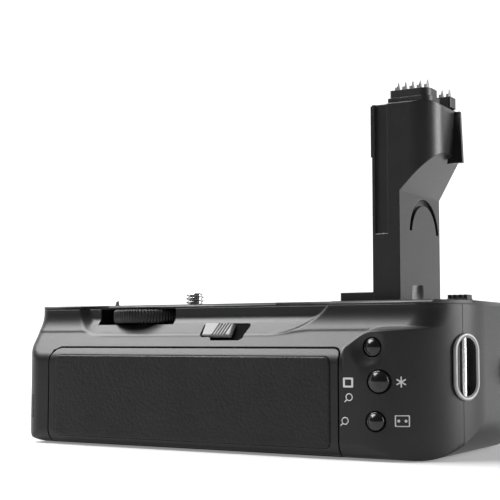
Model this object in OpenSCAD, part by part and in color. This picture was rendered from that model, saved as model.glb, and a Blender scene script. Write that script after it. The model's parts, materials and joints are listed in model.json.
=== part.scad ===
// Battery grip for an interchangeable-lens camera, seen from the rear in its frame:
// +X to the right, +Y towards the lens side, +Z up to the camera.
// The origin is the mouth of the tripod socket, on the axis of the camera screw.

/* [Housing] */
// Socket axis to the left end
left_reach = 48; // [46:1:60]
// Socket axis to the right end
right_reach = 104; // [102:1:112]
// Socket axis to the rear panel plane
rear_reach = 33; // [32:0.5:38]
// How far the finger lobe stands out of the front wall
lobe_depth = 9; // [6:0.5:12]
// Where the flat front of the finger lobe starts on the left
lobe_left = 60; // [54:1:66]
// Radius of the two arcs that blend the lobe into the front wall
lobe_blend_r = 12; // [8:1:16]
// Height of the deck that meets the camera
deck_height = 45; // [40:0.5:50]
// How far the deck edge stands in from the rear panel plane
deck_setback = 8; // [7:0.5:10]
// Height of the rear slope, as a share of the height from its foot to the deck
slope_share = 0.71; // [0.66:0.01:0.76]
// Depth of the seam between the rear cover and the main housing
seam_reach = 16.5; // [15.5:0.5:18]
// Wall thickness of the housing
wall = 2.4; // [1.8:0.1:2.5]
// Thickness of the top plate
top_plate_t = 1.2; // [1:0.1:1.6]
// Chamfer along the edge of the top plate
deck_chamfer = 0.7; // [0.3:0.1:1]
// Thickness of the base plate
base_plate_t = 1.6; // [1.2:0.1:2]
// Plan radius of the rear left corner
rear_left_r = 8; // [5:0.5:9]
// Plan radius of the rear right corner
rear_right_r = 28; // [24:1:30]
// Plan radius of the front left corner
front_left_r = 10; // [6:1:14]
// Radius along the lower left end
left_foot_r = 9; // [6:0.5:10]
// Radius along the lower right end
right_foot_r = 11; // [8:0.5:12]
// Radius along the lower rear edge
rear_foot_r = 4.5; // [3:0.5:6]
// Radius along the lower front edge
front_foot_r = 6; // [4:0.5:8]
// Radius along the upper edge of the finger lobe
lobe_brow_r = 5; // [3:0.5:6]
// Thickness of the rubber skin on the finger lobe
skin_t = 1.2; // [0.8:0.1:1.6]

/* [Thumb scoop] */
// Left end of the level stretch of the scoop
scoop_left = -20; // [-24:1:-20]
// Right end of the level stretch of the scoop
scoop_right = 44; // [42:1:48]
// Height of the scoop's lower line, as a share of the height from the slope's foot to the deck
scoop_share = 0.41; // [0.36:0.01:0.46]
// How far the scoop is cut into the deck band
scoop_depth = 2.5; // [1.5:0.1:3]
// Length of the long run-out at the right end of the scoop
scoop_runout = 20; // [14:1:22]

/* [Button plateau] */
// Where the plateau's slanted edge turns level
ridge_mid = 79; // [77:0.5:81]
// Height of the plateau's level edge
ridge_height = 36.2; // [35.5:0.1:37]
// Radius of the dished rim round the upper button
dish_r = 5.5; // [5:0.1:6.5]
// Depth of that dish
dish_depth = 1.3; // [0.8:0.1:1.6]

/* [Rear buttons] */
// Places of the upper, middle and lower button along X
button_x = [80.2, 82.4, 81.4]; // [79:0.1:84]
// Heights of the upper, middle and lower button
button_z = [31.5, 21.9, 10.8]; // [9:0.1:33]
// Radius of the upper and lower button caps
small_button_r = 2.6; // [2.3:0.1:3]
// Radius of the middle button cap
large_button_r = 3.1; // [2.8:0.1:3.5]
// Travel of a rear button
button_travel = 0.8; // [0.5:0.1:1]
// Gap all round a moving button
button_gap = 0.3; // [0.25:0.05:0.4]
// How far a rear button stands proud
button_proud = 0.9; // [0.85:0.05:1.3]

/* [Shutter button] */
// Height of the shutter button
shutter_z = 22; // [18:0.5:26]
// Radius of the shutter button
shutter_r = 5; // [4:0.1:5.5]
// Travel of the shutter button
shutter_travel = 1.2; // [0.8:0.1:1.4]

/* [Main dial] */
// Radius of the main dial
dial_r = 9; // [8:0.1:10]
// Width of the main dial
dial_w = 6; // [5:0.1:7]
// Place of the dial along Y, as a share of the reach of the finger lobe
dial_share = 0.34; // [0.32:0.01:0.36]
// Height of the main dial axle
dial_z = 24; // [20:0.5:27]
// How far the main dial stands out of the right end
dial_proud = 1.5; // [1:0.1:2]

/* [Magazine] */
// Middle of the magazine along X
tray_mid = 17; // [16:0.5:18]
// Room beside the tray for the latch
latch_room = 5.05; // [4.6:0.05:6]
// Thickness of the magazine panel
panel_t = 3.5; // [3:0.1:4]
// Gap between the panel and the rear cover
panel_gap = 0.45; // [0.3:0.05:0.6]
// Border of the panel outside the rubber pad
pad_border = 2.8; // [2:0.1:4]
// Depth of the rubber pad's seat in the panel
pad_seat = 0.8; // [0.5:0.1:1.2]
// How far the rubber pad stands proud
pad_proud = 0.35; // [0.2:0.05:0.5]
// Width of a battery pack
pack_w = 38.4; // [36:0.1:39]
// Length of a battery pack
pack_l = 56.8; // [54:0.1:57]
// Thickness of a battery pack
pack_h = 21; // [20:0.1:21.2]
// Play of a battery pack in the tray
pack_play = 0.4; // [0.2:0.05:0.5]
// Wall of the magazine tray
tray_wall = 1.3; // [1:0.05:1.4]
// Width of the spine between the two pack bays
spine_w = 14; // [10:0.5:16]
// Play of the tray in the housing
tray_play = 0.3; // [0.25:0.05:0.4]
// Height of the housing floor under the tray
floor_height = 7; // [7:0.05:7.2]

/* [Camera screw drive] */
// Radius of the camera screw and of the tripod socket, 1/4 inch thread
screw_r = 3.175; // [3:0.005:3.3]
// How far the camera screw stands above the deck
screw_proud = 4.5; // [3.5:0.1:5.5]
// Radius of the thumbwheel
wheel_r = 11.5; // [11:0.1:12]
// Thickness of the thumbwheel, as a share of the height of its chamber
wheel_share = 0.42; // [0.34:0.01:0.46]
// Width of the window that shows the thumbwheel
wheel_window = 30; // [27:0.5:32]
// Gear module
gear_m = 0.8; // [0.76:0.01:0.82]
// Teeth on the thumbwheel gear
wheel_teeth = 16; // [14:1:18]
// Teeth on the camera screw gear
screw_teeth = 28; // [26:1:30]
// Direction from the screw to the thumbwheel, turned from -Y towards -X
wheel_turn = 26; // [22:1:28]
// Thickness of the gears, as a share of the height of their chamber
gear_share = 0.31; // [0.24:0.01:0.34]
// Depth of the tripod socket
socket_depth = 6; // [5:0.1:6.2]
// Radius of the tripod bush
bush_r = 6.5; // [5.5:0.1:8]

/* [Power switch] */
// Left end of the switch recess
switch_left = 19.6; // [18:0.1:21]
// Height of the recess up the slope
switch_h = 7.2; // [6.6:0.1:7.6]
// Length of the slider
slider_l = 11.6; // [10:0.1:12]
// Travel of the slider
slider_travel = 4; // [3:0.1:4.4]
// Depth of the recess
switch_depth = 2.4; // [2.2:0.1:3]

/* [Column] */
// Left side of the column
column_left = 70; // [69:0.1:71]
// Width of the stem
stem_w = 9; // [8:0.1:10]
// Width of the upper block
block_w = 20.5; // [19:0.1:22]
// Plan radius of the upper block's near right corner
block_corner_r = 8; // [6:0.1:9]
// Near face of the column, behind the socket axis
column_near = 8; // [7:0.1:9]
// Depth of the column
column_d = 33; // [31:0.5:35]
// Depth of the upper block's right flank
flank_d = 22; // [19:0.5:24]
// Height of the top of the column
column_top = 106; // [104:0.5:110]
// Height at which the slanted underside leaves the stem
throat_foot = 79; // [76:0.5:81]
// Height at which the slanted underside reaches the right flank
throat_lip = 90.4; // [88:0.1:92]
// Height of the foot flange
flange_h = 3.2; // [2.5:0.1:4]
// Reach of the foot flange to the left of the stem
flange_reach = 11.4; // [10:0.1:12]
// How far the guide rib stands out at its foot
rib_w = 3.9; // [3:0.1:4.4]
// Height of the main contact block
main_block_h = 4.3; // [3.6:0.1:5]
// Height of the plinth under the main contact block
plinth_h = 1.8; // [1:0.1:2.4]
// Height of the side contact block
side_block_h = 3.4; // [2.8:0.1:4]
// How far the contact fins stand out of their block
fin_proud = 2.8; // [2.2:0.1:3.4]
// Travel of the contact fins
fin_travel = 1.2; // [0.8:0.1:1.5]
// Thickness of a contact fin
fin_t = 0.8; // [0.6:0.05:1]

/* [Deck and base] */
// Place of the locating pin along X
locate_x = -24.5; // [-30:0.5:-18]
// Place of the locating pin along Y
locate_y = -11; // [-14:0.5:-6]
// Rear left corner of the base plate
base_low = [-30, -20]; // [-32:1:-16]
// Front right corner of the base plate
base_high = [64, 24]; // [20:1:66]
// Rear left corner of the circuit board
board_low = [18, -10]; // [-12:1:22]
// Front right corner of the circuit board
board_high = [56, 24]; // [20:1:60]

/* [Release knob] */
// Radius of the release knob
knob_r = 10; // [8:0.1:11]
// Height of the release knob axis
knob_z = 17; // [16.8:0.1:17.4]
// Place of the release knob axis along Y
knob_y = 2; // [0:0.5:4]
// Depth of the seat of the knob
knob_seat = 3.4; // [3:0.1:4]
// Radius of the latch spindle
spindle_r = 2.5; // [2:0.05:2.6]
// Length of the latch arm
latch_l = 7.5; // [7:0.1:7.6]

/* [Strap bracket] */
// Direction of the bracket's face, turned from +X towards -Y
strap_turn = 22; // [18:1:28]
// Height of the middle of the bracket
strap_z = 25.9; // [22:0.1:28]
// Width of the bracket
strap_w = 10; // [9:0.1:11]
// Height of the bracket
strap_h = 19; // [17:0.5:21]
// Depth of the bracket's cup
strap_d = 3.6; // [3:0.1:4.4]

/* [Cord port] */
// Lower edge of the cord port cover
port_foot = 8; // [7:0.1:9]
// Upper edge of the cord port cover
port_top = 15.5; // [14:0.1:17]
// How far the cord port cover wraps round the corner, from the left end
port_wrap = 5; // [3.5:0.1:6]
// Thickness of the cord port cover
port_t = 2; // [1.5:0.1:2.4]

/* [Hidden] */
$fn = 64;

// A length past every side of the grip, an overrun for cuts, and the usual gaps
far = 400;
over = 1;
running = 0.05;
slip = 0.3;
seat_gap = 0.1;

// Magazine: the packs set the size of the tray, the tray that of the bay and the panel
panel_back = panel_t - rear_reach;
tray_floor = floor_height + tray_play;
tray_floor_t = 1.2;
tray_inner = tray_floor + tray_floor_t;
tray_top = tray_inner + pack_h + pack_play / 2;
roof_play = 0.7;
bay_roof = tray_top + roof_play;
bay_w = pack_w + 2 * pack_play;
bay_l = pack_l + pack_play;
bay_offset = (spine_w + bay_w) / 2;
tray_half = spine_w / 2 + bay_w + tray_wall;
tray_front = panel_back + bay_l + tray_wall;
bay_front = tray_front + 2 * tray_play;
bay_left = tray_mid - tray_half - latch_room;
bay_right = tray_mid + tray_half + latch_room;
panel_left = bay_left - panel_gap;
panel_right = bay_right + panel_gap;
panel_top = bay_roof + 0.6;
panel_foot = 0.5;
panel_left_r = 4;
panel_right_r = 2;
pad_r = 2;

// Housing outside
front_reach = bay_front + wall;
lobe_reach = front_reach + lobe_depth;
band_y = deck_setback - rear_reach;
deck_under = deck_height - top_plate_t;
slope_foot = panel_top - pad_border;
slope_top = slope_foot + slope_share * (deck_height - slope_foot);
slope_run = (slope_top - slope_foot) / deck_setback;
slope_angle = atan(slope_run);
scoop_foot = slope_foot + scoop_share * (deck_height - slope_foot);
ridge_start = panel_right + 1;
deck_edge_r = 1;
corner_x = right_reach - rear_right_r;
corner_y = rear_right_r - rear_reach;
// Where the deck band runs out into the right corner
band_end = corner_x + sqrt(rear_right_r * rear_right_r - (corner_y - band_y) * (corner_y - band_y));
skin_low = 5;
skin_high = deck_height - 6;
// Turn of each arc that blends the lobe into the front wall, and the length of the blend
lobe_turn = acos(1 - lobe_depth / (2 * lobe_blend_r));
lobe_run = 2 * lobe_blend_r * sin(lobe_turn);

// Gear train in the chamber over the bay
roof_t = 3;
chamber_floor = bay_roof + roof_t;
chamber_end = 4;
chamber_h = deck_under - chamber_floor;
gear_t = gear_share * chamber_h;
wheel_t = wheel_share * chamber_h;
wheel_gear_r = gear_m * wheel_teeth / 2;
screw_gear_r = gear_m * screw_teeth / 2;
gear_distance = wheel_gear_r + screw_gear_r;
wheel_x = -gear_distance * sin(wheel_turn);
wheel_y = -gear_distance * cos(wheel_turn);
gear_addendum = 0.8 * gear_m;
gear_dedendum = 1.1 * gear_m;
gear_backlash = 0.12;
gear_pressure = 20;
gear_plate_t = 0.7;
plate_edge = 4;
plate_r = 3;
gear_foot = chamber_floor + gear_plate_t + slip;
wheel_top = deck_under - slip;
wheel_foot = wheel_top - wheel_t;
wheel_play = 0.5;
wheel_notches = 40;
wheel_notch = 0.8;
window_foot = wheel_foot - wheel_play;
axle_r = 1.5;
axle_sunk = 1.5;
shank_r = screw_r - 0.2;
shank_foot = bay_roof + 1;
bush_h = socket_depth + 0.4;

// Front controls
dial_y = dial_share * lobe_reach;
facet_start = dial_y + dial_w / 2;
facet_w = 16;
facet_a = [right_reach, facet_start];
facet_b = [right_reach - facet_w, lobe_reach];
facet_dir = (facet_b - facet_a) / norm(facet_b - facet_a);
facet_out = [facet_dir[1], -facet_dir[0]];
facet_turn = atan2(facet_out[1], facet_out[0]);
facet_mid = (facet_a + facet_b) / 2;
shutter_stem = 3;
shutter_proud = 1.8;
shutter_dish_r = 15;
shutter_dish = 0.8;
cap_flange_t = 1.2;
cap_flange_w = 0.9;
dial_x = right_reach + dial_proud - dial_r;
dial_axle_r = 1;
dial_axle_end = 2;
dial_notches = 24;
dial_notch_r = 0.7;

// Rear controls
button_room_y = 4.5 - rear_reach;
button_foot = button_room_y + slip + cap_flange_t;
button_margin = 2;
tact_w = 5;
tact_t = 2;
tact_back = button_foot + button_travel + seat_gap + tact_t;
switch_up = 6.4;
switch_r = 1.5;
switch_base_t = 0.8;
slider_play = 0.7;
slider_up = 1.7;
slider_lift = 0.2;
slider_h = switch_h - 2.2;
slider_t = switch_depth - switch_base_t - 2 * slider_lift;
slider_ribs = 6;
slider_rib = 0.5;
switch_l = slider_l + slider_travel + 2 * slider_play;

// Column
column_right = column_left + block_w;
stem_right = column_left + stem_w;
column_far = column_d - column_near;
block_brow_r = 2;
rib_near = 5;
rib_lean = 4.4;
rib_t = 1.4;
rib_tip = 2.2;
rib_foot = throat_lip - 2.5;
rib_top = column_top - 1.2;
rail_t = 0.4;
rail_foot = throat_lip - 0.7;
channel_side = 1;
channel_w = 4;
channel_t = 0.7;
channel_foot = 66;
tongue_y = 11.8;
tongue_z = 65.8;
tongue_r = 10.2;
tongue_foot = tongue_z + 1.6;
groove_w = 2.1;
groove_t = 1.2;
fin_pitch = 2.4;
fin_main_in = [6.7, 4.8];
fin_side_in = [4.4, 17.6];
fin_main_x = [for (k = [0 : 4]) column_left + fin_main_in[0] + fin_pitch * k];
fin_side_x = [for (k = [0 : 1]) column_right - fin_side_in[0] + fin_pitch * k];
fin_main_y = fin_main_in[1] - column_near;
fin_side_y = fin_side_in[1] - column_near;
fin_d = 2.4;
fin_tip = 0.8;
fin_taper = 1.6;
fin_sunk = 3;
block_r = 0.8;
block_end = 1.6;
block_near = 2.6;
block_back = 5;
main_corner_r = 3;
plinth_step = 0.6;
small_hole_r = 1;
screw_head_r = 1.9;
screw_head_t = 1.2;
head_play = 0.2;
column_screw_in = 5;
column_screw_x = column_left - 6.5;
column_screw_places = [
  [column_screw_x, column_screw_in - column_near],
  [column_screw_x, column_far - column_screw_in]
];
flange_near_r = 1;
flange_far_r = 3;
tab_side = 5;
tab_w = 3;
tab_h = 4.7;
comb_t = 1;
comb_pitch = 1.7;
comb_h = 1.2;
clip_w = 3 * comb_pitch + comb_t + 2 * slip;
clip_d = 5;
locate_r = 1.2;
locate_h = 2;

// Base, board and contacts
base_r = 6;
base_screw_in = [5, 8];
base_screw_l = 4.5;
base_screw_places = [for (x = [base_low[0] + base_screw_in[0], base_high[0] - base_screw_in[0]],
  y = [base_low[1] + base_screw_in[1], base_high[1] - base_screw_in[1]]) [x, y]];
board_rise = 2.5;
board_t = 1.2;
board_r = 1;
post_r = 2;
post_in = 4;
board_posts = [for (x = [board_low[0] + post_in, board_high[0] - post_in],
  y = [board_low[1] + post_in, board_high[1] - post_in]) [x, y]];
contact_w = 12;
contact_t = 1.5;
contact_foot = tray_inner + 2.5;
contact_h = 14;
strip_w = 2;
strip_pitch = 2.6;
strip_in = 2;
terminal_w = 1.6;
terminal_t = 0.6;
terminal_pitch = 3.6;

// Release knob, latch, strap bracket and cord port
knob_proud = 0.3;
knob_rim = 1.4;
knob_dish = 1.6;
knob_bar_w = 2.6;
knob_t = knob_seat + knob_proud - 0.4;
bush_wall = 1.5;
latch_w = 3;
latch_t = 2.5;
latch_play = 0.4;
latch_left = bay_left + latch_play;
latch_hub = 0.7;
post_t = 3;
strap_rim = 1.2;
strap_back = 1;
strap_proud = 0.5;
strap_bar_r = 1;
port_gap = 0.15;
port_hinge_y = -seam_reach - 2;

// An outline in (y, z) carried along X, and one in (x, z) carried along Y
module along_x(x0, x1) {
  translate([x0, 0, 0]) rotate([90, 0, 90]) linear_extrude(x1 - x0) children();
}
module along_y(y0, y1) {
  translate([0, y1, 0]) rotate([90, 0, 0]) linear_extrude(y1 - y0) children();
}
module box(low, high) {
  translate(low) cube(high - low);
}
// A round bar from a point along +X, and one along +Y
module bar_x(p, r, l) {
  translate(p) rotate([0, 90, 0]) cylinder(r = r, h = l);
}
module bar_y(p, r, l) {
  translate(p) rotate([-90, 0, 0]) cylinder(r = r, h = l);
}
// What lies outside a round corner of radius r, for the corner at c opening towards (dx, dy)
module corner_trim(c, dx, dy, r) {
  if (r > 0) difference() {
    translate([min(c[0] - dx * over, c[0] + dx * r), min(c[1] - dy * over, c[1] + dy * r)])
      square(r + over);
    translate(c + [dx * r, dy * r]) circle(r);
  }
}
// A rectangle with its own radius at each corner: low left, low right, high right, high left
module round_rect(low, high, r) {
  difference() {
    translate(low) square(high - low);
    corner_trim(low, 1, 1, r[0]);
    corner_trim([high[0], low[1]], -1, 1, r[1]);
    corner_trim(high, -1, -1, r[2]);
    corner_trim([low[0], high[1]], 1, -1, r[3]);
  }
}
// A rectangle with the same radius at all corners
module even_rect(low, high, r) {
  round_rect(low, high, [r, r, r, r]);
}
// A slot with round ends, upright, of width w and height h
module upright_slot(w, h) {
  translate([-w / 2, -h / 2 + w / 2]) square([w, h - w]);
  for (s = [-1, 1]) translate([0, s * (h - w) / 2]) circle(w / 2);
}
// Points along an arc about c, from angle a0 to a1
function arc(c, r, a0, a1, steps) = [for (k = [0 : steps])
  c + r * [cos(a0 + (a1 - a0) * k / steps), sin(a0 + (a1 - a0) * k / steps)]];

// Plan of the housing, drawn in by i
module plan(i = 0) {
  intersection() {
    union() {
      round_rect([i - left_reach, i - rear_reach], [right_reach - i, front_reach - i],
        [rear_left_r - i, rear_right_r - i, 0, front_left_r - i]);
      finger_lobe(i);
    }
    translate(facet_mid - i * facet_out) rotate(facet_turn)
      translate([-far, -far]) square([far, 2 * far]);
  }
}
// A hollow arc and a round arc lead from the front wall to the finger lobe
module finger_lobe(i) {
  steps = 5;
  hollow_c = [lobe_left - lobe_run, front_reach + lobe_blend_r];
  round_c = [lobe_left, lobe_reach - lobe_blend_r];
  polygon(concat([[hollow_c[0], 0]],
    arc(hollow_c, lobe_blend_r + i, -90, lobe_turn * (1 - 1 / steps) - 90, steps - 1),
    arc(round_c, lobe_blend_r - i, 90 + lobe_turn, 90, steps),
    [[right_reach - i, lobe_reach - i], [right_reach - i, 0]]));
}
module end_outline(i) {
  round_rect([i - left_reach, i], [right_reach - i, deck_height],
    [left_foot_r, right_foot_r, deck_edge_r, deck_edge_r]);
}
module side_outline(i) {
  round_rect([i - rear_reach, i], [lobe_reach - i, deck_height],
    [rear_foot_r, front_foot_r, lobe_brow_r, 0]);
}
// The block that the housing is cut from, drawn in by i
module envelope(i = 0) {
  intersection() {
    linear_extrude(deck_height) plan(i);
    along_x(-far, far) side_outline(i);
    along_y(-far, far) end_outline(i);
  }
}
// Slope under the deck band, kept clear of the plateau that holds the buttons
module shoulder_cut() {
  difference() {
    along_x(-far, far) polygon([[-rear_reach - over, slope_foot - over * slope_run],
      [band_y, slope_top], [band_y, deck_height + over], [-rear_reach - over, deck_height + over]]);
    along_y(-far, far) polygon([[ridge_start, 0], [ridge_start, panel_top],
      [ridge_mid, ridge_height], [far, ridge_height], [far, 0]]);
  }
}
// Thumb scoop in the deck band, with a short round end on the left and a long one on the right
module scoop_cut() {
  rise = deck_height - scoop_foot;
  right_r = (scoop_runout * scoop_runout + rise * rise) / (2 * rise);
  foot_y = -rear_reach + (scoop_foot - slope_foot) / slope_run;
  wall_y = band_y + scoop_depth;
  floor_run = (slope_top - scoop_foot) / (wall_y - foot_y);
  intersection() {
    along_y(-far, far) difference() {
      union() {
        translate([scoop_left, scoop_foot]) square([scoop_right - scoop_left, rise + over]);
        translate([scoop_left, deck_height]) circle(rise);
        translate([scoop_left - rise, deck_height]) square([rise, over]);
        intersection() {
          translate([scoop_right, scoop_foot + right_r]) circle(right_r);
          translate([scoop_right, scoop_foot]) square([scoop_runout + over, rise + over]);
        }
      }
      translate([-far, deck_height + over]) square([2 * far, far]);
    }
    along_x(-far, far) polygon([[foot_y - deck_setback, scoop_foot - deck_setback * floor_run],
      [wall_y, slope_top], [wall_y, deck_height + over], [foot_y - deck_setback, deck_height + over]]);
  }
}
// Round dish about the upper button
module dish_cut() {
  ball_r = (dish_r * dish_r + dish_depth * dish_depth) / (2 * dish_depth);
  translate([button_x[0], wall_at(button_x[0]) - ball_r + dish_depth, button_z[0]])
    sphere(ball_r, $fn = 96);
}
// The whole outside of the housing
module outside() {
  difference() {
    envelope();
    shoulder_cut();
    scoop_cut();
    dish_cut();
  }
}
// Rear wall of the housing at a given x, flat and then round the right corner
function wall_at(x) = x < corner_x ? -rear_reach
  : corner_y - sqrt(rear_right_r * rear_right_r - (x - corner_x) * (x - corner_x));
function button_r(k) = k == 1 ? large_button_r : small_button_r;

// The space for the thumbwheel and its gear, open at the window
module wheel_space() {
  translate([wheel_x, wheel_y, window_foot]) cylinder(r = wheel_r + wheel_play, h = far);
  translate([wheel_x, wheel_y, chamber_floor])
    cylinder(r = wheel_gear_r + gear_addendum + wheel_play, h = far);
  box([wheel_x - wheel_window / 2, -rear_reach - over, window_foot],
    [wheel_x + wheel_window / 2, wheel_y, deck_height + over]);
}
// The magazine's way in from the rear
module bay_space() {
  box([bay_left, -far, floor_height], [bay_right, bay_front, bay_roof]);
}
module panel_space() {
  along_y(-far, panel_back + panel_gap)
    round_rect([panel_left - panel_gap, -over], [panel_right + panel_gap, panel_top + panel_gap],
      [0, 0, panel_right_r + panel_gap, panel_left_r + panel_gap]);
}
module base_seat() {
  gap = [seat_gap, seat_gap];
  translate([0, 0, -over]) linear_extrude(base_plate_t + over)
    even_rect(base_low - gap, base_high + gap, base_r);
}
// Frame on the round right corner: Y up, Z out of the corner
module strap_frame() {
  translate([corner_x, corner_y, strap_z]) rotate([0, 0, -strap_turn])
    translate([rear_right_r, 0, 0]) rotate([90, 0, 90]) children();
}
module strap_space() {
  strap_frame() translate([0, 0, -strap_d]) linear_extrude(far) upright_slot(strap_w, strap_h);
}
module port_space(g = 0) {
  difference() {
    box([-far, -far, port_foot - g], [port_wrap - left_reach + g, port_hinge_y + g, port_top + g]);
    envelope(port_t + g);
  }
}
// Frame on the shutter button's facet: Z out of it
module facet_frame() {
  translate([facet_mid[0], facet_mid[1], shutter_z]) rotate([0, 0, facet_turn]) rotate([0, 90, 0])
    children();
}
module shutter_space() {
  room_t = cap_flange_t + shutter_travel + 2 * slip;
  facet_frame() {
    translate([0, 0, -shutter_stem]) cylinder(r = shutter_r + button_gap, h = far);
    translate([0, 0, slip - shutter_stem - room_t])
      cylinder(r = shutter_r + cap_flange_w + button_gap, h = room_t);
  }
}
// Finger lobe area that carries the rubber skin
module skin_zone() {
  box([lobe_left - lobe_run / 2, front_reach, skin_low], [facet_b[0] - over, far, skin_high]);
}
// Room behind the rear buttons, narrower by d
module button_room(d, y0, y1) {
  half = large_button_r + button_margin + over - d;
  low = min(button_z) - small_button_r - button_margin + d;
  high = max(button_z) + small_button_r + button_margin - d;
  box([min(button_x) - half, y0, low], [max(button_x) + half, y1, high]);
}
// Frame on the rear slope: X along the recess, Y up the slope, Z out of it
module switch_frame() {
  translate([switch_left, -rear_reach, slope_foot]) rotate([slope_angle, 0, 0])
    translate([0, switch_up, 0]) children();
}
// Chamfer along a straight stretch of the deck's rear edge
module deck_edge_cut(x0, x1, y) {
  along_x(x0, x1) polygon([[y - over, deck_height - deck_chamfer - over], [y - over, deck_height + over],
    [y + deck_chamfer + over, deck_height + over]]);
}

module main_housing() {
  color([0.13, 0.13, 0.14]) difference() {
    outside();
    box([-far, -far, -over], [far, -seam_reach, far]);
    box([-far, -far, deck_under], [far, far, far]);
    bay_space();
    box([chamber_end - left_reach, -seam_reach - over, chamber_floor],
      [column_left - wall, front_reach - wall, far]);
    wheel_space();
    translate([0, 0, shank_foot - head_play]) cylinder(r = shank_r + running, h = far);
    axle_hole();
    translate([0, 0, -over]) cylinder(r = bush_r, h = bush_h + over);
    base_seat();
    for (p = base_screw_places) translate(p) cylinder(r = small_hole_r, h = base_screw_l + 2 * slip);
    bar_x([-left_reach - over, knob_y, knob_z], knob_r + slip, knob_seat + over);
    bar_x([-left_reach, knob_y, knob_z], spindle_r + bush_wall, left_reach + bay_left + over);
    bar_y([dial_x, dial_y - dial_w / 2 - slip, dial_z], dial_r + wheel_play, dial_w + 2 * slip);
    bar_y([dial_x, dial_y - dial_w / 2 - dial_axle_end, dial_z], dial_axle_r, dial_w + 2 * dial_axle_end);
    shutter_space();
    strap_space();
    difference() {
      skin_zone();
      envelope(skin_t);
    }
    translate([tray_mid - contact_w / 2, bay_front - over, contact_foot])
      cube([contact_w, contact_t + over, contact_h]);
  }
  color([0.13, 0.13, 0.14]) for (p = board_posts)
    translate([p[0], p[1], chamber_floor - over]) cylinder(r = post_r, h = board_rise + over);
}
module axle_hole() {
  translate([wheel_x, wheel_y, chamber_floor - axle_sunk]) cylinder(r = axle_r, h = far);
}
module rear_cover() {
  color([0.11, 0.11, 0.12]) difference() {
    outside();
    box([-far, -seam_reach, -over], [far, far, far]);
    box([-far, -far, deck_under], [far, far, far]);
    bay_space();
    panel_space();
    wheel_space();
    axle_hole();
    base_seat();
    for (k = [0 : 2]) translate([button_x[k], 0, button_z[k]]) rotate([90, 0, 0])
      cylinder(r = button_r(k) + button_gap, h = far);
    button_room(0, button_room_y, over - seam_reach);
    strap_space();
    port_space(port_gap);
    port_bead(port_gap);
    port_turn_room();
    switch_frame() translate([0, 0, -switch_depth]) linear_extrude(far)
      even_rect([0, 0], [switch_l, switch_h], switch_r);
  }
}
module top_plate() {
  color([0.16, 0.16, 0.17]) difference() {
    outside();
    box([-far, -far, -over], [far, far, deck_under]);
    cylinder(r = screw_r + slip, h = far);
    translate([locate_x, locate_y, 0]) cylinder(r = locate_r, h = far);
    deck_edge_cut(-far, band_end, band_y);
    deck_edge_cut(scoop_left, scoop_right, band_y + scoop_depth);
  }
  color([0.16, 0.16, 0.17]) translate([stem_right + tab_side, -column_near - tab_w, deck_under])
    cube([tab_w, tab_w, top_plate_t + tab_h]);
}
module base_plate() {
  color([0.2, 0.2, 0.21]) difference() {
    linear_extrude(base_plate_t) even_rect(base_low, base_high, base_r);
    translate([0, 0, -over]) cylinder(r = bush_r + seat_gap, h = far);
    for (p = base_screw_places) translate([p[0], p[1], -over])
      cylinder(r = screw_head_r + head_play, h = far);
  }
}
module tripod_bush() {
  color([0.75, 0.75, 0.73]) difference() {
    cylinder(r = bush_r, h = bush_h);
    translate([0, 0, -over]) cylinder(r = screw_r, h = socket_depth + over);
  }
}
module base_screws() {
  color([0.3, 0.3, 0.3]) for (p = base_screw_places) translate([p[0], p[1], slip]) {
    cylinder(r = screw_head_r, h = base_plate_t - slip);
    cylinder(r = small_hole_r, h = base_screw_l);
  }
}
module front_grip_rubber() {
  color([0.08, 0.08, 0.08]) intersection() {
    difference() {
      envelope();
      envelope(skin_t);
    }
    skin_zone();
  }
}
module locating_pin() {
  color([0.7, 0.7, 0.7]) translate([locate_x, locate_y, deck_under]) {
    cylinder(r = locate_r, h = top_plate_t);
    translate([0, 0, top_plate_t]) cylinder(r1 = locate_r, r2 = locate_r / 2, h = locate_h);
  }
}
module gear_plate() {
  color([0.6, 0.6, 0.6]) translate([0, 0, chamber_floor]) difference() {
    linear_extrude(gear_plate_t) even_rect([wheel_x - wheel_gear_r, wheel_y + plate_edge],
      [screw_gear_r + plate_edge, screw_gear_r + plate_edge], plate_r);
    translate([0, 0, -over]) cylinder(r = screw_r + slip, h = far);
    translate([wheel_x, wheel_y, -over]) cylinder(r = axle_r + over, h = far);
  }
}
module wheel_axle() {
  color([0.75, 0.75, 0.75]) translate([wheel_x, wheel_y, chamber_floor - axle_sunk])
    cylinder(r = axle_r, h = chamber_h + axle_sunk - slip);
}

// Column that goes into the camera's battery chamber, seen from the rear
module column_side() {
  difference() {
    polygon([[column_left, deck_height], [stem_right, deck_height], [stem_right, throat_foot],
      [column_right, throat_lip], [column_right, column_top], [column_left, column_top]]);
    corner_trim([column_right, column_top], -1, -1, block_brow_r);
  }
}
// Plan of the column, with a round near right corner and a slanted far one
module column_plan() {
  difference() {
    polygon([[column_left, -column_near], [column_right, -column_near],
      [column_right, flank_d - column_near], [stem_right, column_far], [column_left, column_far]]);
    corner_trim([column_right, -column_near], -1, 1, block_corner_r);
  }
}
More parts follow.
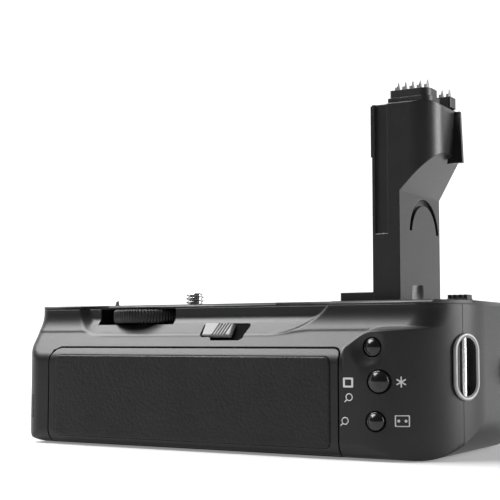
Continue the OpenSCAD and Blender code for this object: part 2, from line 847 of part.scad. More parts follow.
// Guide rib on the right flank: it leans back and narrows towards the top
module guide_rib() {
  intersection() {
    along_x(column_right - over, column_right + rib_w)
      polygon([[rib_near, rib_foot], [rib_near + rib_t, rib_foot],
        [rib_near + rib_lean + rib_t, rib_top], [rib_near + rib_lean, rib_top]]);
    along_y(-far, far)
      polygon([[column_right - over, rib_foot], [column_right + rib_w, rib_foot],
        [column_right + rib_w - rib_tip, rib_top], [column_right - over, rib_top]]);
  }
}
module fin_slots(places, y, sunk) {
  half_t = fin_t / 2 + slip;
  half_d = fin_d / 2 + slip;
  for (x = places) box([x - half_t, y - half_d, column_top - sunk], [x + half_t, y + half_d, far]);
}
module column_body() {
  slot_sunk = fin_sunk + fin_travel + slip;
  color([0.1, 0.1, 0.11]) difference() {
    union() {
      intersection() {
        along_y(-far, far) column_side();
        linear_extrude(far) column_plan();
      }
      guide_rib();
      box([column_left - rail_t, -column_near, rail_foot],
        [column_left + over, column_far, column_top - rail_t]);
    }
    box([column_left + channel_side, -column_near - over, channel_foot],
      [column_left + channel_side + channel_w, channel_t - column_near, far]);
    fin_slots(fin_main_x, fin_main_y, slot_sunk);
    fin_slots(fin_side_x, fin_side_y, slot_sunk);
    tongue_groove();
  }
}
// Arched groove on the right flank of the stem
module tongue_groove() {
  along_x(stem_right - groove_t, stem_right + over) intersection() {
    translate([tongue_y, tongue_z]) difference() {
      circle(tongue_r + groove_w);
      circle(tongue_r);
    }
    translate([-far, tongue_foot]) square(2 * far);
  }
}
module column_flange() {
  color([0.12, 0.12, 0.13]) difference() {
    translate([0, 0, deck_height]) linear_extrude(flange_h)
      round_rect([column_left - flange_reach, -column_near], [column_left, column_far],
        [flange_near_r, 0, 0, flange_far_r]);
    for (p = column_screw_places) translate([p[0], p[1], deck_height]) {
      translate([0, 0, -over]) cylinder(r = small_hole_r, h = far);
      translate([0, 0, flange_h - screw_head_t]) cylinder(r = screw_head_r + head_play, h = far);
    }
  }
}
module column_screws() {
  color([0.45, 0.45, 0.45]) for (p = column_screw_places) translate([p[0], p[1], deck_height]) {
    cylinder(r = small_hole_r, h = flange_h - screw_head_t);
    translate([0, 0, flange_h - screw_head_t]) cylinder(r = screw_head_r, h = screw_head_t - head_play);
  }
}
module contact_block_main() {
  low = [fin_main_x[0] - block_end, fin_main_y - block_near];
  high = [fin_main_x[4] + block_end, fin_main_y + block_back];
  step = [plinth_step, plinth_step];
  radii = [block_r, main_corner_r, block_r, block_r];
  color([0.09, 0.09, 0.09]) difference() {
    translate([0, 0, column_top]) {
      linear_extrude(plinth_h) round_rect(low - step, high + step, radii);
      linear_extrude(main_block_h) round_rect(low, high, radii);
    }
    fin_slots(fin_main_x, fin_main_y, over);
  }
}
module contact_block_side() {
  low = [fin_side_x[0] - block_end, fin_side_y - block_near];
  high = [fin_side_x[1] + block_end, fin_side_y + block_near];
  color([0.09, 0.09, 0.09]) difference() {
    translate([0, 0, column_top]) linear_extrude(side_block_h) even_rect(low, high, block_r);
    fin_slots(fin_side_x, fin_side_y, over);
  }
}
// Pointed contact plates in a row, sunk into the column
module fins(places, y, top) {
  foot = column_top - fin_sunk;
  half_d = fin_d / 2;
  half_tip = fin_tip / 2;
  for (x = places) along_x(x - fin_t / 2, x + fin_t / 2)
    polygon([[y - half_d, foot], [y + half_d, foot], [y + half_d, top - fin_taper],
      [y + half_tip, top], [y - half_tip, top], [y - half_d, top - fin_taper]]);
}
module contact_fins_main() {
  color([0.8, 0.78, 0.7]) fins(fin_main_x, fin_main_y, column_top + main_block_h + fin_proud);
}
module contact_fins_side() {
  color([0.8, 0.78, 0.7]) fins(fin_side_x, fin_side_y, column_top + side_block_h + fin_proud);
}
// Clip on the deck that holds the camera's removed battery door, with a comb on it
module door_clip() {
  color([0.1, 0.1, 0.1]) translate([column_right, 0, deck_height]) {
    linear_extrude(comb_t) even_rect([0, 0], [clip_w, clip_d], plinth_step);
    for (k = [0 : 3]) translate([slip + comb_pitch * k, slip, comb_t])
      cube([comb_t, clip_d - 2 * slip, comb_h]);
  }
}

module main_board() {
  color([0.1, 0.3, 0.15]) translate([0, 0, chamber_floor + board_rise]) linear_extrude(board_t)
    even_rect(board_low, board_high, board_r);
}
module tact_switches() {
  color([0.25, 0.25, 0.25]) {
    for (k = [0 : 2]) translate([button_x[k] - tact_w / 2, tact_back - tact_t, button_z[k] - tact_w / 2])
      cube([tact_w, tact_t, tact_w]);
    button_room(over, tact_back, -seam_reach);
  }
}
module switch_base() {
  color([0.05, 0.05, 0.05]) switch_frame() translate([0, 0, -switch_depth]) linear_extrude(switch_base_t)
    even_rect([running, running], [switch_l - running, switch_h - running], switch_r - running);
}
module power_slider() {
  color([0.75, 0.75, 0.75]) switch_frame()
    translate([slider_play, slider_up, switch_base_t + slider_lift - switch_depth]) {
      linear_extrude(slider_t) even_rect([0, 0], [slider_l, slider_h], slider_play);
      for (k = [1 : slider_ribs])
        translate([slider_l - 2 * slider_rib * k - slider_rib, slider_rib, slider_t])
          cube([slider_rib, slider_h - 2 * slider_rib, slider_rib]);
    }
}
module power_contacts() {
  color([0.7, 0.6, 0.3])
    translate([tray_mid - contact_w / 2 + seat_gap, bay_front + seat_gap, contact_foot + seat_gap])
      cube([contact_w - 2 * seat_gap, contact_t - seat_gap, contact_h - 2 * seat_gap]);
}
module spindle_bush() {
  color([0.75, 0.65, 0.35]) difference() {
    bar_x([knob_seat - left_reach, knob_y, knob_z], spindle_r + bush_wall, left_reach + bay_left - knob_seat);
    bar_x([-left_reach, knob_y, knob_z], spindle_r + running, left_reach);
  }
}
module dial_axle() {
  color([0.7, 0.7, 0.7])
    bar_y([dial_x, dial_y - dial_w / 2 - dial_axle_end, dial_z], dial_axle_r, dial_w + 2 * dial_axle_end);
}
module strap_bracket() {
  color([0.7, 0.7, 0.72]) difference() {
    strap_frame() difference() {
      translate([0, 0, -strap_d]) linear_extrude(strap_d + strap_proud)
        upright_slot(strap_w - seat_gap, strap_h - seat_gap);
      translate([0, 0, strap_back - strap_d]) linear_extrude(far)
        upright_slot(strap_w - 2 * strap_rim, strap_h - 2 * strap_rim);
    }
    strap_pin();
  }
}
// The bar across the bracket, with its ends in the bracket's rim
module strap_pin() {
  l = strap_h - strap_rim;
  strap_frame() translate([0, l / 2, -strap_bar_r]) rotate([90, 0, 0]) cylinder(r = strap_bar_r, h = l);
}
module strap_bar() {
  color([0.75, 0.75, 0.77]) strap_pin();
}
// Round edge that the cord port cover turns on
module port_bead(g = 0) {
  translate([port_t / 2 - left_reach, port_hinge_y, port_foot - g])
    cylinder(r = port_t / 2 + g, h = port_top - port_foot + 2 * g);
}
// Room in front of that edge for the cover's outer face to turn into
module port_turn_room() {
  translate([-left_reach - over, port_hinge_y, port_foot - port_gap])
    cube([over + port_t / 2, port_t / 2 + port_gap, port_top - port_foot + 2 * port_gap]);
}
module cord_port_cover() {
  color([0.07, 0.07, 0.07]) {
    intersection() {
      envelope();
      port_space();
    }
    port_bead();
  }
}

// Involute gear outline, with a tooth middle on the +X axis
function inv(a) = tan(a) - a * PI / 180;
function flank_angle(r, rb, half) = half - (r > rb ? inv(acos(rb / r)) : 0) * 180 / PI;
function polar(r, a) = r * [cos(a), sin(a)];
module gear_outline(teeth) {
  rp = gear_m * teeth / 2;
  rb = rp * cos(gear_pressure);
  root = rp - gear_dedendum;
  tip = rp + gear_addendum;
  steps = 4;
  pitch = 360 / teeth;
  half = pitch / 4 - gear_backlash / rp * 90 / PI + inv(gear_pressure) * 180 / PI;
  radii = concat([root], [for (k = [0 : steps]) max(root, rb) + (tip - max(root, rb)) * k / steps]);
  side = [for (r = radii) [r, flank_angle(r, rb, half)]];
  polygon([for (t = [0 : teeth - 1]) each concat(
    [for (s = side) polar(s[0], t * pitch - s[1])],
    [for (k = [len(side) - 1 : -1 : 0]) polar(side[k][0], t * pitch + side[k][1])])]);
}
// Direction from the thumbwheel to the screw, which both gears are set to
mesh_turn = atan2(-wheel_y, -wheel_x);
module thumbwheel() {
  color([0.08, 0.08, 0.08]) translate([wheel_x, wheel_y, 0]) difference() {
    union() {
      translate([0, 0, gear_foot]) rotate(mesh_turn) linear_extrude(gear_t) gear_outline(wheel_teeth);
      translate([0, 0, gear_foot])
        cylinder(r = wheel_gear_r - 2 * gear_dedendum, h = wheel_foot - gear_foot + over);
      translate([0, 0, wheel_foot]) cylinder(r = wheel_r, h = wheel_t);
    }
    cylinder(r = axle_r + running, h = far);
    for (k = [1 : wheel_notches]) rotate(k * 360 / wheel_notches)
      translate([wheel_r, 0, wheel_foot - over]) rotate(45)
        translate([-wheel_notch / 2, -wheel_notch / 2, 0])
          cube([wheel_notch, wheel_notch, wheel_t + 2 * over]);
  }
}
module camera_screw() {
  color([0.8, 0.8, 0.8]) {
    translate([0, 0, shank_foot]) cylinder(r = shank_r, h = deck_height - shank_foot);
    translate([0, 0, deck_height]) cylinder(r = screw_r, h = screw_proud);
  }
}
module screw_gear() {
  color([0.7, 0.65, 0.5]) translate([0, 0, gear_foot]) difference() {
    rotate(mesh_turn + 180 + 180 / screw_teeth) linear_extrude(gear_t) gear_outline(screw_teeth);
    translate([0, 0, -over]) cylinder(r = shank_r, h = far);
  }
}
// Rear button: a round cap through the cover, with a flange behind it
module rear_button(k) {
  r = button_r(k);
  wall_y = min(wall_at(button_x[k] - r), wall_at(button_x[k] + r)) + (k == 0 ? dish_depth : 0);
  color([0.06, 0.06, 0.06]) translate([button_x[k], button_foot, button_z[k]]) rotate([90, 0, 0]) {
    cylinder(r = r, h = button_foot - wall_y + button_proud);
    cylinder(r = r + cap_flange_w, h = cap_flange_t);
  }
}
module button_upper() {
  rear_button(0);
}
module button_middle() {
  rear_button(1);
}
module button_lower() {
  rear_button(2);
}
module shutter_button() {
  color([0.06, 0.06, 0.06]) facet_frame() difference() {
    translate([0, 0, -shutter_stem - cap_flange_t]) {
      cylinder(r = shutter_r, h = cap_flange_t + shutter_stem + shutter_proud);
      cylinder(r = shutter_r + cap_flange_w, h = cap_flange_t);
    }
    translate([0, 0, shutter_proud + shutter_dish_r - shutter_dish]) sphere(shutter_dish_r);
  }
}
module main_dial() {
  color([0.08, 0.08, 0.08]) translate([dial_x, dial_y - dial_w / 2, dial_z]) rotate([-90, 0, 0])
    difference() {
      cylinder(r = dial_r, h = dial_w);
      translate([0, 0, -over]) cylinder(r = dial_axle_r + running, h = far);
      for (k = [1 : dial_notches]) rotate(k * 360 / dial_notches)
        translate([dial_r + dial_notch_r / 2, 0, -over])
          cylinder(r = dial_notch_r, h = dial_w + 2 * over, $fn = 16);
    }
}

// The rubber pad's outline on the panel, drawn in by d
module pad_shape(y0, y1, d) {
  along_y(y0, y1) even_rect([panel_left + pad_border + d, pad_border + d],
    [panel_right - pad_border - d, panel_top - pad_border - d], pad_r);
}
module magazine_panel() {
  color([0.11, 0.11, 0.12]) difference() {
    intersection() {
      outside();
      along_y(-far, panel_back) round_rect([panel_left, panel_foot], [panel_right, panel_top],
        [0, 0, panel_right_r, panel_left_r]);
    }
    pad_shape(-far, pad_seat - rear_reach, 0);
  }
}
module magazine_rubber() {
  color([0.07, 0.07, 0.07]) pad_shape(-rear_reach - pad_proud, pad_seat - rear_reach, running);
}
module magazine_tray() {
  post_y = knob_y + latch_w / 2 + latch_play;
  color([0.15, 0.15, 0.15]) {
    difference() {
      box([tray_mid - tray_half, panel_back, tray_floor], [tray_mid + tray_half, tray_front, tray_top]);
      for (s = [-1, 1]) translate([tray_mid + s * bay_offset - bay_w / 2, panel_back - over, tray_inner])
        cube([bay_w, bay_l + over, far]);
    }
    box([bay_left + tray_play, panel_back, tray_floor], [bay_right - tray_play, tray_front, tray_inner]);
    box([latch_left, post_y, tray_floor],
      [latch_left + latch_t, post_y + post_t, knob_z - spindle_r - bush_wall]);
  }
}
// Four strips on the front of the tray, which meet the housing's contacts
module magazine_contacts() {
  low = contact_foot + strip_in;
  color([0.85, 0.7, 0.35]) for (k = [-1.5 : 1.5])
    translate([tray_mid + strip_pitch * k - strip_w / 2, tray_front, low])
      cube([strip_w, tray_play, contact_h - 2 * strip_in]);
}
// Four blades at the end of each pack bay
module pack_terminals() {
  low = contact_foot + strip_in;
  color([0.85, 0.7, 0.35]) for (s = [-1, 1], k = [-1.5 : 1.5])
    translate([tray_mid + s * bay_offset + terminal_pitch * k - terminal_w / 2,
      tray_front - tray_wall - terminal_t, low]) cube([terminal_w, terminal_t, contact_h - 2 * strip_in]);
}
// Knob with a dished face and a bar across it to turn it by
module release_knob() {
  bar_l = 2 * (knob_r - knob_rim) + slip;
  color([0.1, 0.1, 0.1]) translate([-left_reach - knob_proud, knob_y, knob_z]) rotate([0, 90, 0]) {
    difference() {
      cylinder(r = knob_r, h = knob_t);
      translate([0, 0, -over]) cylinder(r = knob_r - knob_rim, h = knob_dish + over);
    }
    translate([-bar_l / 2, -knob_bar_w / 2, 0]) cube([bar_l, knob_bar_w, knob_t]);
  }
}
module latch_spindle() {
  start = knob_t - knob_proud - left_reach;
  color([0.7, 0.7, 0.7]) bar_x([start, knob_y, knob_z], spindle_r, latch_left - start);
}
// Arm that swings down behind the tray's post
module latch_cam() {
  color([0.65, 0.65, 0.65]) along_x(latch_left, latch_left + latch_t) {
    translate([knob_y, knob_z]) circle(spindle_r + latch_hub);
    translate([knob_y - latch_l, knob_z - latch_w / 2]) square([latch_l, latch_w]);
  }
}

main_housing();
rear_cover();
top_plate();
base_plate();
tripod_bush();
base_screws();
front_grip_rubber();
locating_pin();
gear_plate();
wheel_axle();
column_body();
column_flange();
column_screws();
contact_block_main();
contact_block_side();
door_clip();
main_board();
tact_switches();
switch_base();
power_contacts();
spindle_bush();
dial_axle();
strap_bracket();
strap_bar();
cord_port_cover();
thumbwheel();
camera_screw();
screw_gear();
power_slider();
button_upper();
button_middle();
button_lower();
shutter_button();
main_dial();
magazine_panel();
magazine_rubber();
magazine_tray();
magazine_contacts();
pack_terminals();
release_knob();
latch_spindle();
latch_cam();
contact_fins_main();
contact_fins_side();
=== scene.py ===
# %% [markdown]
# # A battery grip for a camera
# The grip screws under a camera body and holds two battery packs in a drawer. A measured frame gives every
# working part its place and its motion. This lesson dresses that frame with what the eye needs: soft moulded
# forms, a real thread, domed keys, a grooved slider, pebbled rubber and studio light.

# %% Load the frame
import bmesh
import bpy
import json
import math
import numpy as np
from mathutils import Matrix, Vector


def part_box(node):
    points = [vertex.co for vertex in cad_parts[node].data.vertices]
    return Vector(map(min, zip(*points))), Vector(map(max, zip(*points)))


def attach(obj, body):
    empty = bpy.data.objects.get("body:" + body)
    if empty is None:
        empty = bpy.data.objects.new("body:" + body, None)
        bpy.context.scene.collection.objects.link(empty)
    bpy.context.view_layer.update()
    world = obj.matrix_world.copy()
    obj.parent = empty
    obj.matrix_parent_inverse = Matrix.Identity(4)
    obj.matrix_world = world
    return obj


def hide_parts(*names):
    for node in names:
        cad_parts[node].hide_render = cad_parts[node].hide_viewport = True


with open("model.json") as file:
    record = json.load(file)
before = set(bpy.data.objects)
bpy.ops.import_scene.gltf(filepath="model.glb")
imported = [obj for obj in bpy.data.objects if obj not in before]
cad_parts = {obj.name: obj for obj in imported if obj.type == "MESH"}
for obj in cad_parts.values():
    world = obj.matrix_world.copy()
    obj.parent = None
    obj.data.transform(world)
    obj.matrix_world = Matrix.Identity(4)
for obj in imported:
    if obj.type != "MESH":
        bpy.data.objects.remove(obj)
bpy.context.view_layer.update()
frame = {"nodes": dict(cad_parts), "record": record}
nodes = frame["nodes"]
slot_of = {part["node"]: part["material_slot"] for part in frame["record"]["subparts"]}
MM = 0.001

# %% [markdown]
# ## From a grid of points to a mesh
# Most pieces here are a sheet of points with two directions, like cloth woven from rows and columns: four
# neighbours make a face. Such meshes could be modelled by hand with extrusions, but a formula keeps the shape
# exact and easy to change. A sheet can close on itself in either direction, and a tube gets flat ends.

# %% Sheets and tubes
def grid_faces(rows, cols, close_cols=False, close_rows=False):
    """Quads of a grid: each joins a point to its right neighbour and to the two above them."""
    c = np.arange(cols if close_cols else cols - 1)
    r = np.arange(rows if close_rows else rows - 1)[:, None]
    right, above = (c + 1) % cols, (r + 1) % rows
    quads = np.stack([r * cols + c, r * cols + right, above * cols + right, above * cols + c], -1)
    return quads.reshape(-1, 4).tolist()


def new_object(name, points, faces):
    """An object at the origin whose mesh has these points, in millimetres, and these faces."""
    mesh = bpy.data.meshes.new(name)
    mesh.from_pydata((np.asarray(points, float).reshape(-1, 3) * MM).tolist(), [], faces)
    mesh.validate()
    obj = bpy.data.objects.new(name, mesh)
    bpy.context.scene.collection.objects.link(obj)
    return obj


def loft(name, sheet):
    """A closed tube through the rings of points in sheet[ring, place], with flat ends."""
    rings, places = sheet.shape[:2]
    faces = grid_faces(rings, places, close_cols=True)
    faces.append(list(range(places))[::-1])
    faces.append(list(range((rings - 1) * places, rings * places)))
    return new_object(name, sheet, faces)


def ring_loft(name, sheet):
    """A ring without ends: the sheet closes on itself in both directions."""
    return new_object(name, sheet, grid_faces(*sheet.shape[:2], close_cols=True, close_rows=True))


print("a closed 4 by 6 grid has", len(grid_faces(4, 6, True, True)), "faces")

# %% [markdown]
# ## Moving points and turning faces
# A piece is often drawn flat first and carried to its place afterwards. With all points in one array that is a
# single sum instead of a loop. Faces have to look outwards, or shading and cuts go wrong. The signed volume of
# a closed mesh is negative when they look inwards, which is a surer test than looking at each face.

# %% Points and faces
def points_of(obj):
    """All points of a mesh as rows of x, y and z, in millimetres."""
    flat = np.zeros(len(obj.data.vertices) * 3, np.float32)
    obj.data.vertices.foreach_get("co", flat)
    return flat.reshape(-1, 3).astype(float) / MM


def carried(obj, points):
    """Moves every point of a mesh to its new place, given in millimetres."""
    obj.data.vertices.foreach_set("co", (points * MM).astype(np.float32).ravel())
    obj.data.update()
    return obj


def outward(obj):
    """Turns the faces if the volume is negative: the sum of a times (b cross c) over all triangles."""
    mesh = obj.data
    mesh.calc_loop_triangles()
    corners = np.zeros(len(mesh.loop_triangles) * 3, np.int32)
    mesh.loop_triangles.foreach_get("vertices", corners)
    a, b, c = points_of(obj)[corners.reshape(-1, 3)].transpose(1, 0, 2)
    if np.einsum("ij,ij->i", a, np.cross(b, c)).sum() < 0:
        mesh.flip_normals()
    return obj


# %% [markdown]
# ## Outlines, bars and cuts
# Openings in a moulded part are left by inserts of the mould. Here each insert is a straight bar with a flat
# outline, and a Boolean modifier takes it out of the solid. The manifold solver is quick and keeps closed
# meshes closed, which is why every tool is a closed bar as well.

# %% Bars and cuts
def arc(centre, r, degrees):
    """Points of an arc: the centre plus r times the cosine and the sine of each angle."""
    a = np.radians(degrees)
    return np.stack([centre[0] + r * np.cos(a), centre[1] + r * np.sin(a)], -1)


def circle(x, y, r, count=64):
    """Points round a circle."""
    return arc((x, y), r, np.linspace(0, 360, count, endpoint=False))


def round_outline(low, high, radii, steps=8):
    """A rectangle with its own radius at each corner: low left, low right, high right, high left."""
    (x0, y0), (x1, y1) = low, high
    corners = [(x0, y0, 1, 1), (x1, y0, -1, 1), (x1, y1, -1, -1), (x0, y1, 1, -1)]
    turn = np.linspace(0, 90, steps + 1)
    return np.concatenate([arc((x + dx * r, y + dy * r), r, 180 + 90 * k + turn)
                           for k, ((x, y, dx, dy), r) in enumerate(zip(corners, radii))])


def prism(name, outline, low, high, axis="z"):
    """A straight bar with a flat outline: in (x, y) along z, or in (x, z) along y."""
    flat = np.asarray(outline, float)
    ends = np.stack([np.full(len(flat), low), np.full(len(flat), high)])
    u, v = (np.broadcast_to(flat[:, k], ends.shape) for k in (0, 1))
    sheet = np.stack([u, v, ends] if axis == "z" else [u, ends, v], -1)
    return outward(loft(name, sheet))


def block(name, low, high):
    """A box between two corners."""
    (x0, y0, z0), (x1, y1, z1) = low, high
    return prism(name, [(x0, y0), (x1, y0), (x1, y1), (x0, y1)], z0, z1)


def combine(obj, tools, operation="DIFFERENCE"):
    """Cuts the tools out of a solid, or keeps what it shares with them, as one new mesh."""
    for tool in tools:
        step = obj.modifiers.new("cut", "BOOLEAN")
        step.operation = operation
        step.solver = "MANIFOLD"
        step.object = tool
    bpy.context.view_layer.update()
    view = bpy.context.evaluated_depsgraph_get()
    mesh = bpy.data.meshes.new_from_object(obj.evaluated_get(view))
    obj.modifiers.clear()
    obj.data = mesh
    for tool in tools:
        bpy.data.objects.remove(tool)
    return obj


print("a rounded rectangle has", len(round_outline((0, 0), (4, 2), [0.5] * 4)), "points")

# %% [markdown]
# ## A node tree in few words
# A material is a tree of nodes. Adding a node, setting its sockets and wiring it takes three kinds of call in
# Blender, so one method does all three: a socket gets a plain value, or the output of another node.

# %% Node tree
class Tree:
    """The node tree of one new material."""

    def __init__(self, name):
        self.mat = bpy.data.materials.new(name)
        self.mat.use_nodes = True
        self.mat.node_tree.nodes.clear()

    def node(self, kind, inputs=None, **settings):
        """Adds a node with these settings; each input is a value or another node's output."""
        new = self.mat.node_tree.nodes.new("ShaderNode" + kind)
        for key, value in settings.items():
            setattr(new, key, value)
        for socket, value in (inputs or {}).items():
            if isinstance(value, bpy.types.NodeSocket):
                self.mat.node_tree.links.new(value, new.inputs[socket])
            else:
                new.inputs[socket].default_value = value
        return new.outputs

    def maths(self, kind, a, b):
        """One sum of two values."""
        return self.node("Math", {0: a, 1: b}, operation=kind)["Value"]

    def spread(self, value, start, end, **settings):
        """Maps the range start onto the range end, and holds the ends."""
        ranges = dict(zip(("From Min", "From Max", "To Min", "To Max"), (*start, *end)))
        return self.node("MapRange", {"Value": value, **ranges}, **settings)["Result"]


# %% [markdown]
# ## Finishes
# A moulded part is never one flat colour. The mould leaves a fine grain, handling polishes some places more
# than others, and edges wear lighter. A painted image could show that, but it needs unwrapping and blurs close
# up, so each finish mixes noises: a broad one for the tone, and a fine one for the roughness and the bump. A
# small bevel in the shading softens every edge, and where that soft normal leaves the true one the finish
# counts the place as an edge.

# %% Finish maker
NOISE_RANGE = (0.3, 0.7)
EDGE_RANGE = (0.995, 0.85)
BUMP_HEIGHT = 0.2 * MM


def finish(name, tone, rough, metal=0.0, grain=2600.0, bump=0.08, edge=0.35, edge_r=0.35, coat=0.0,
           shine=0.5, streak=None, cells=None):
    """A procedural finish: tone varies with broad noise, roughness with fine noise, edges show wear.
    shine is the strength of the mirror part; streak stretches the grain along one axis, as brushing does;
    cells adds leather-like pebbles of that many per metre."""
    tree = Tree(name)
    where = tree.node("TexCoord")["Object"]
    fine_where = tree.node("Mapping", {"Vector": where, "Scale": streak})["Vector"] if streak else where
    broad = tree.node("TexNoise", {"Vector": where, "Scale": 90.0, "Detail": 3.0})["Fac"]
    fine = tree.node("TexNoise", {"Vector": fine_where, "Scale": grain, "Detail": 2.0})["Fac"]
    soft = tree.node("Bevel", {"Radius": edge_r * MM}, samples=6)["Normal"]
    true = tree.node("NewGeometry")["Normal"]
    match = tree.node("VectorMath", {0: soft, 1: true}, operation="DOT_PRODUCT")["Value"]
    worn = tree.spread(match, EDGE_RANGE, (0.0, 1.0))
    wear = tree.maths("MULTIPLY", worn, tree.maths("MULTIPLY", broad, edge))
    lighter = [min(1.0, 2.2 * c + 0.02) for c in tone]
    amount = tree.maths("MAXIMUM", wear, tree.spread(broad, NOISE_RANGE, (0.0, 0.12)))
    colour = tree.node("Mix", {"Factor": amount, "A": (*tone, 1), "B": (*lighter, 1)}, data_type="RGBA")["Result"]
    satin = tree.spread(fine, NOISE_RANGE, (rough * 0.88, rough * 1.12))
    polish = tree.maths("SUBTRACT", satin, tree.maths("MULTIPLY", wear, 0.3 * rough))
    height = fine
    if cells:
        pebble = tree.node("TexVoronoi", {"Vector": where, "Scale": cells, "Smoothness": 0.5},
                           feature="SMOOTH_F1")["Distance"]
        height = tree.maths("SUBTRACT", tree.maths("MULTIPLY", fine, 0.25), pebble)
    lift = tree.node("Bump", {"Strength": bump, "Distance": BUMP_HEIGHT,
                              "Height": height, "Normal": soft})["Normal"]
    skin = tree.node("BsdfPrincipled", {
        "Base Color": colour, "Roughness": polish, "Normal": lift, "Metallic": metal, "Specular IOR Level": shine,
        "Coat Weight": coat, "Coat Roughness": 0.08})["BSDF"]
    tree.node("OutputMaterial", {"Surface": skin})
    return tree.mat


# %% [markdown]
# ## One finish for each slot
# The shell is satin black plastic with a fine grain. The column is a little smoother, the rubber is dull and
# pebbled, the keys are polished. The screws and the strap oval are plated metal, and the slider is silver paint
# with its grain drawn along its length. Naming each finish once keeps all pieces of one material alike.

# %% Plastics and rubber
looks = {
    "black_shell": finish("satin_shell", (0.013, 0.013, 0.014), 0.38, bump=0.10, shine=0.34),
    "base_black": finish("base_plastic", (0.018, 0.018, 0.019), 0.45, bump=0.08, shine=0.34),
    "column_black": finish("column_plastic", (0.012, 0.012, 0.013), 0.36, grain=1800, bump=0.05, edge_r=0.5),
    "tray_black": finish("tray_plastic", (0.026, 0.026, 0.027), 0.5, bump=0.12),
    "knob_black": finish("knob_plastic", (0.018, 0.018, 0.019), 0.38),
    "dark_insert": finish("dark_plastic", (0.010, 0.010, 0.010), 0.42, edge_r=0.2),
    "gloss_black": finish("polished_key", (0.007, 0.007, 0.008), 0.16, bump=0.01, coat=0.1, shine=0.4),
    "black_rubber": finish("pebbled_rubber", (0.011, 0.011, 0.011), 0.48, bump=0.8, edge=0.2, shine=0.30,
                           cells=1000.0),
}
# The base under the power slider is black plastic. Here it is made darker and duller than the shell, which paints
# the shade of its recess.
recess_painted_shade = finish("switch_recess_painted_shade", (0.003, 0.003, 0.003), 0.85, bump=0.05, edge=0.05, edge_r=0.1, shine=0.06)
print(len(looks), "plastic finishes")

# %% Metals, paint and print
looks.update({
    "bright_steel": finish("plated_steel", (0.72, 0.72, 0.72), 0.20, metal=1.0, bump=0.02, edge=0.5, edge_r=0.15),
    "dark_screw": finish("blackened_steel", (0.16, 0.16, 0.165), 0.34, metal=1.0, bump=0.04, edge_r=0.15),
    "satin_silver": finish("silver_paint", (0.30, 0.30, 0.30), 0.50, bump=0.10, edge_r=0.12, shine=0.3,
                           streak=(0.08, 1.0, 1.0)),
    "gold_contact": finish("gold_plate", (0.83, 0.62, 0.26), 0.25, metal=1.0, bump=0.03, edge_r=0.1),
    "brass_insert": finish("turned_brass", (0.70, 0.52, 0.24), 0.30, metal=1.0, bump=0.05, edge_r=0.1),
    "circuit_board": finish("board_lacquer", (0.02, 0.11, 0.05), 0.3, grain=900, bump=0.05, edge_r=0.1),
})
cup_grey = finish("strap_cup", (0.07, 0.07, 0.07), 0.38, metal=0.7, bump=0.04, edge_r=0.2)
fin_steel = finish("spring_steel", (0.30, 0.30, 0.30), 0.50, metal=0.6, bump=0.03, edge_r=0.1)
print_white = finish("printed_mark", (0.62, 0.62, 0.62), 0.5, grain=3000, bump=0.02, edge=0.0, edge_r=0.05)
own_look = {"switch_base": recess_painted_shade, "strap_bracket": cup_grey,
            "contact_fins_main": fin_steel, "contact_fins_side": fin_steel}
for name, node in nodes.items():
    node.data.materials.clear()
    node.data.materials.append(own_look.get(name, looks[slot_of[name]]))
print(len(looks) + len(set(own_look.values())), "finishes on", len(nodes), "nodes")

# %% [markdown]
# ## Setting a piece on its body
# Every new piece rides on one body of the frame, so that it moves with it, and carries a material slot. Where it
# stands for a plain solid of the frame, it replaces that solid. Smooth shading with an angle limit keeps round
# faces round and real edges crisp without any more points.

# %% Place a piece
def place(obj, body, slot, material=None, sharp=40, stands_for=()):
    """Sets a piece on its body with its finish; edges sharper than the given angle stay crisp."""
    outward(obj)
    mesh = obj.data
    mesh.materials.clear()
    mesh.materials.append(material or looks[slot])
    mesh.shade_smooth()
    mesh.set_sharp_from_angle(angle=math.radians(sharp))
    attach(obj, body)
    if stands_for:
        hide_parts(*stands_for)
    print(obj.name, len(mesh.vertices), "points")
    return obj


# %% [markdown]
# ## Soft joins
# The rear of the grip is one moulded skin. A slope leads from the drawer up to the deck band, a thumb scoop is
# pressed into it, and a plateau for three keys stands out of it at the right. A mould maker cuts such forms
# with a ball-nosed tool, so no two of them meet in a knife edge. A bevel could round the edges afterwards, but
# it fails where three forms run together. Here each form is a depth over the plain outline, and a soft minimum
# or maximum joins two depths.

# %% Soft minimum and maximum
def soft_min(a, b, k):
    """The smaller of two values, rounded off where they differ by less than k."""
    h = np.clip(k - np.abs(a - b), 0, None) / k
    return np.minimum(a, b) - h * h * k / 4


def soft_max(a, b, k):
    """The larger of two values, rounded off where they differ by less than k."""
    return -soft_min(-a, -b, k)


def step_between(low, high, v):
    """0 below low, 1 above high, and a smooth rise between them."""
    t = np.clip((v - low) / (high - low), 0, 1)
    return t * t * (3 - 2 * t)


print("two equal depths join", round(float(-soft_min(0.0, 0.0, 1.0)), 3), "of the radius lower")

# %% [markdown]
# ## Plan outline
# Seen from above, the rear half of the shell goes down the left end, round a small corner, along the straight
# rear and round a large corner to the right end. A sheet shows only as much detail as its points can carry, so
# the steps along the rear are short where the scoop ends and where the plateau rises, and long between them.

# %% Outline of the rear half
LEFT, RIGHT, REAR, CLOSE = -48.0, 104.0, -33.0, -4.0
LEFT_R, RIGHT_R = 8.0, 28.0
RIGHT_C = np.array([RIGHT - RIGHT_R, REAR + RIGHT_R])


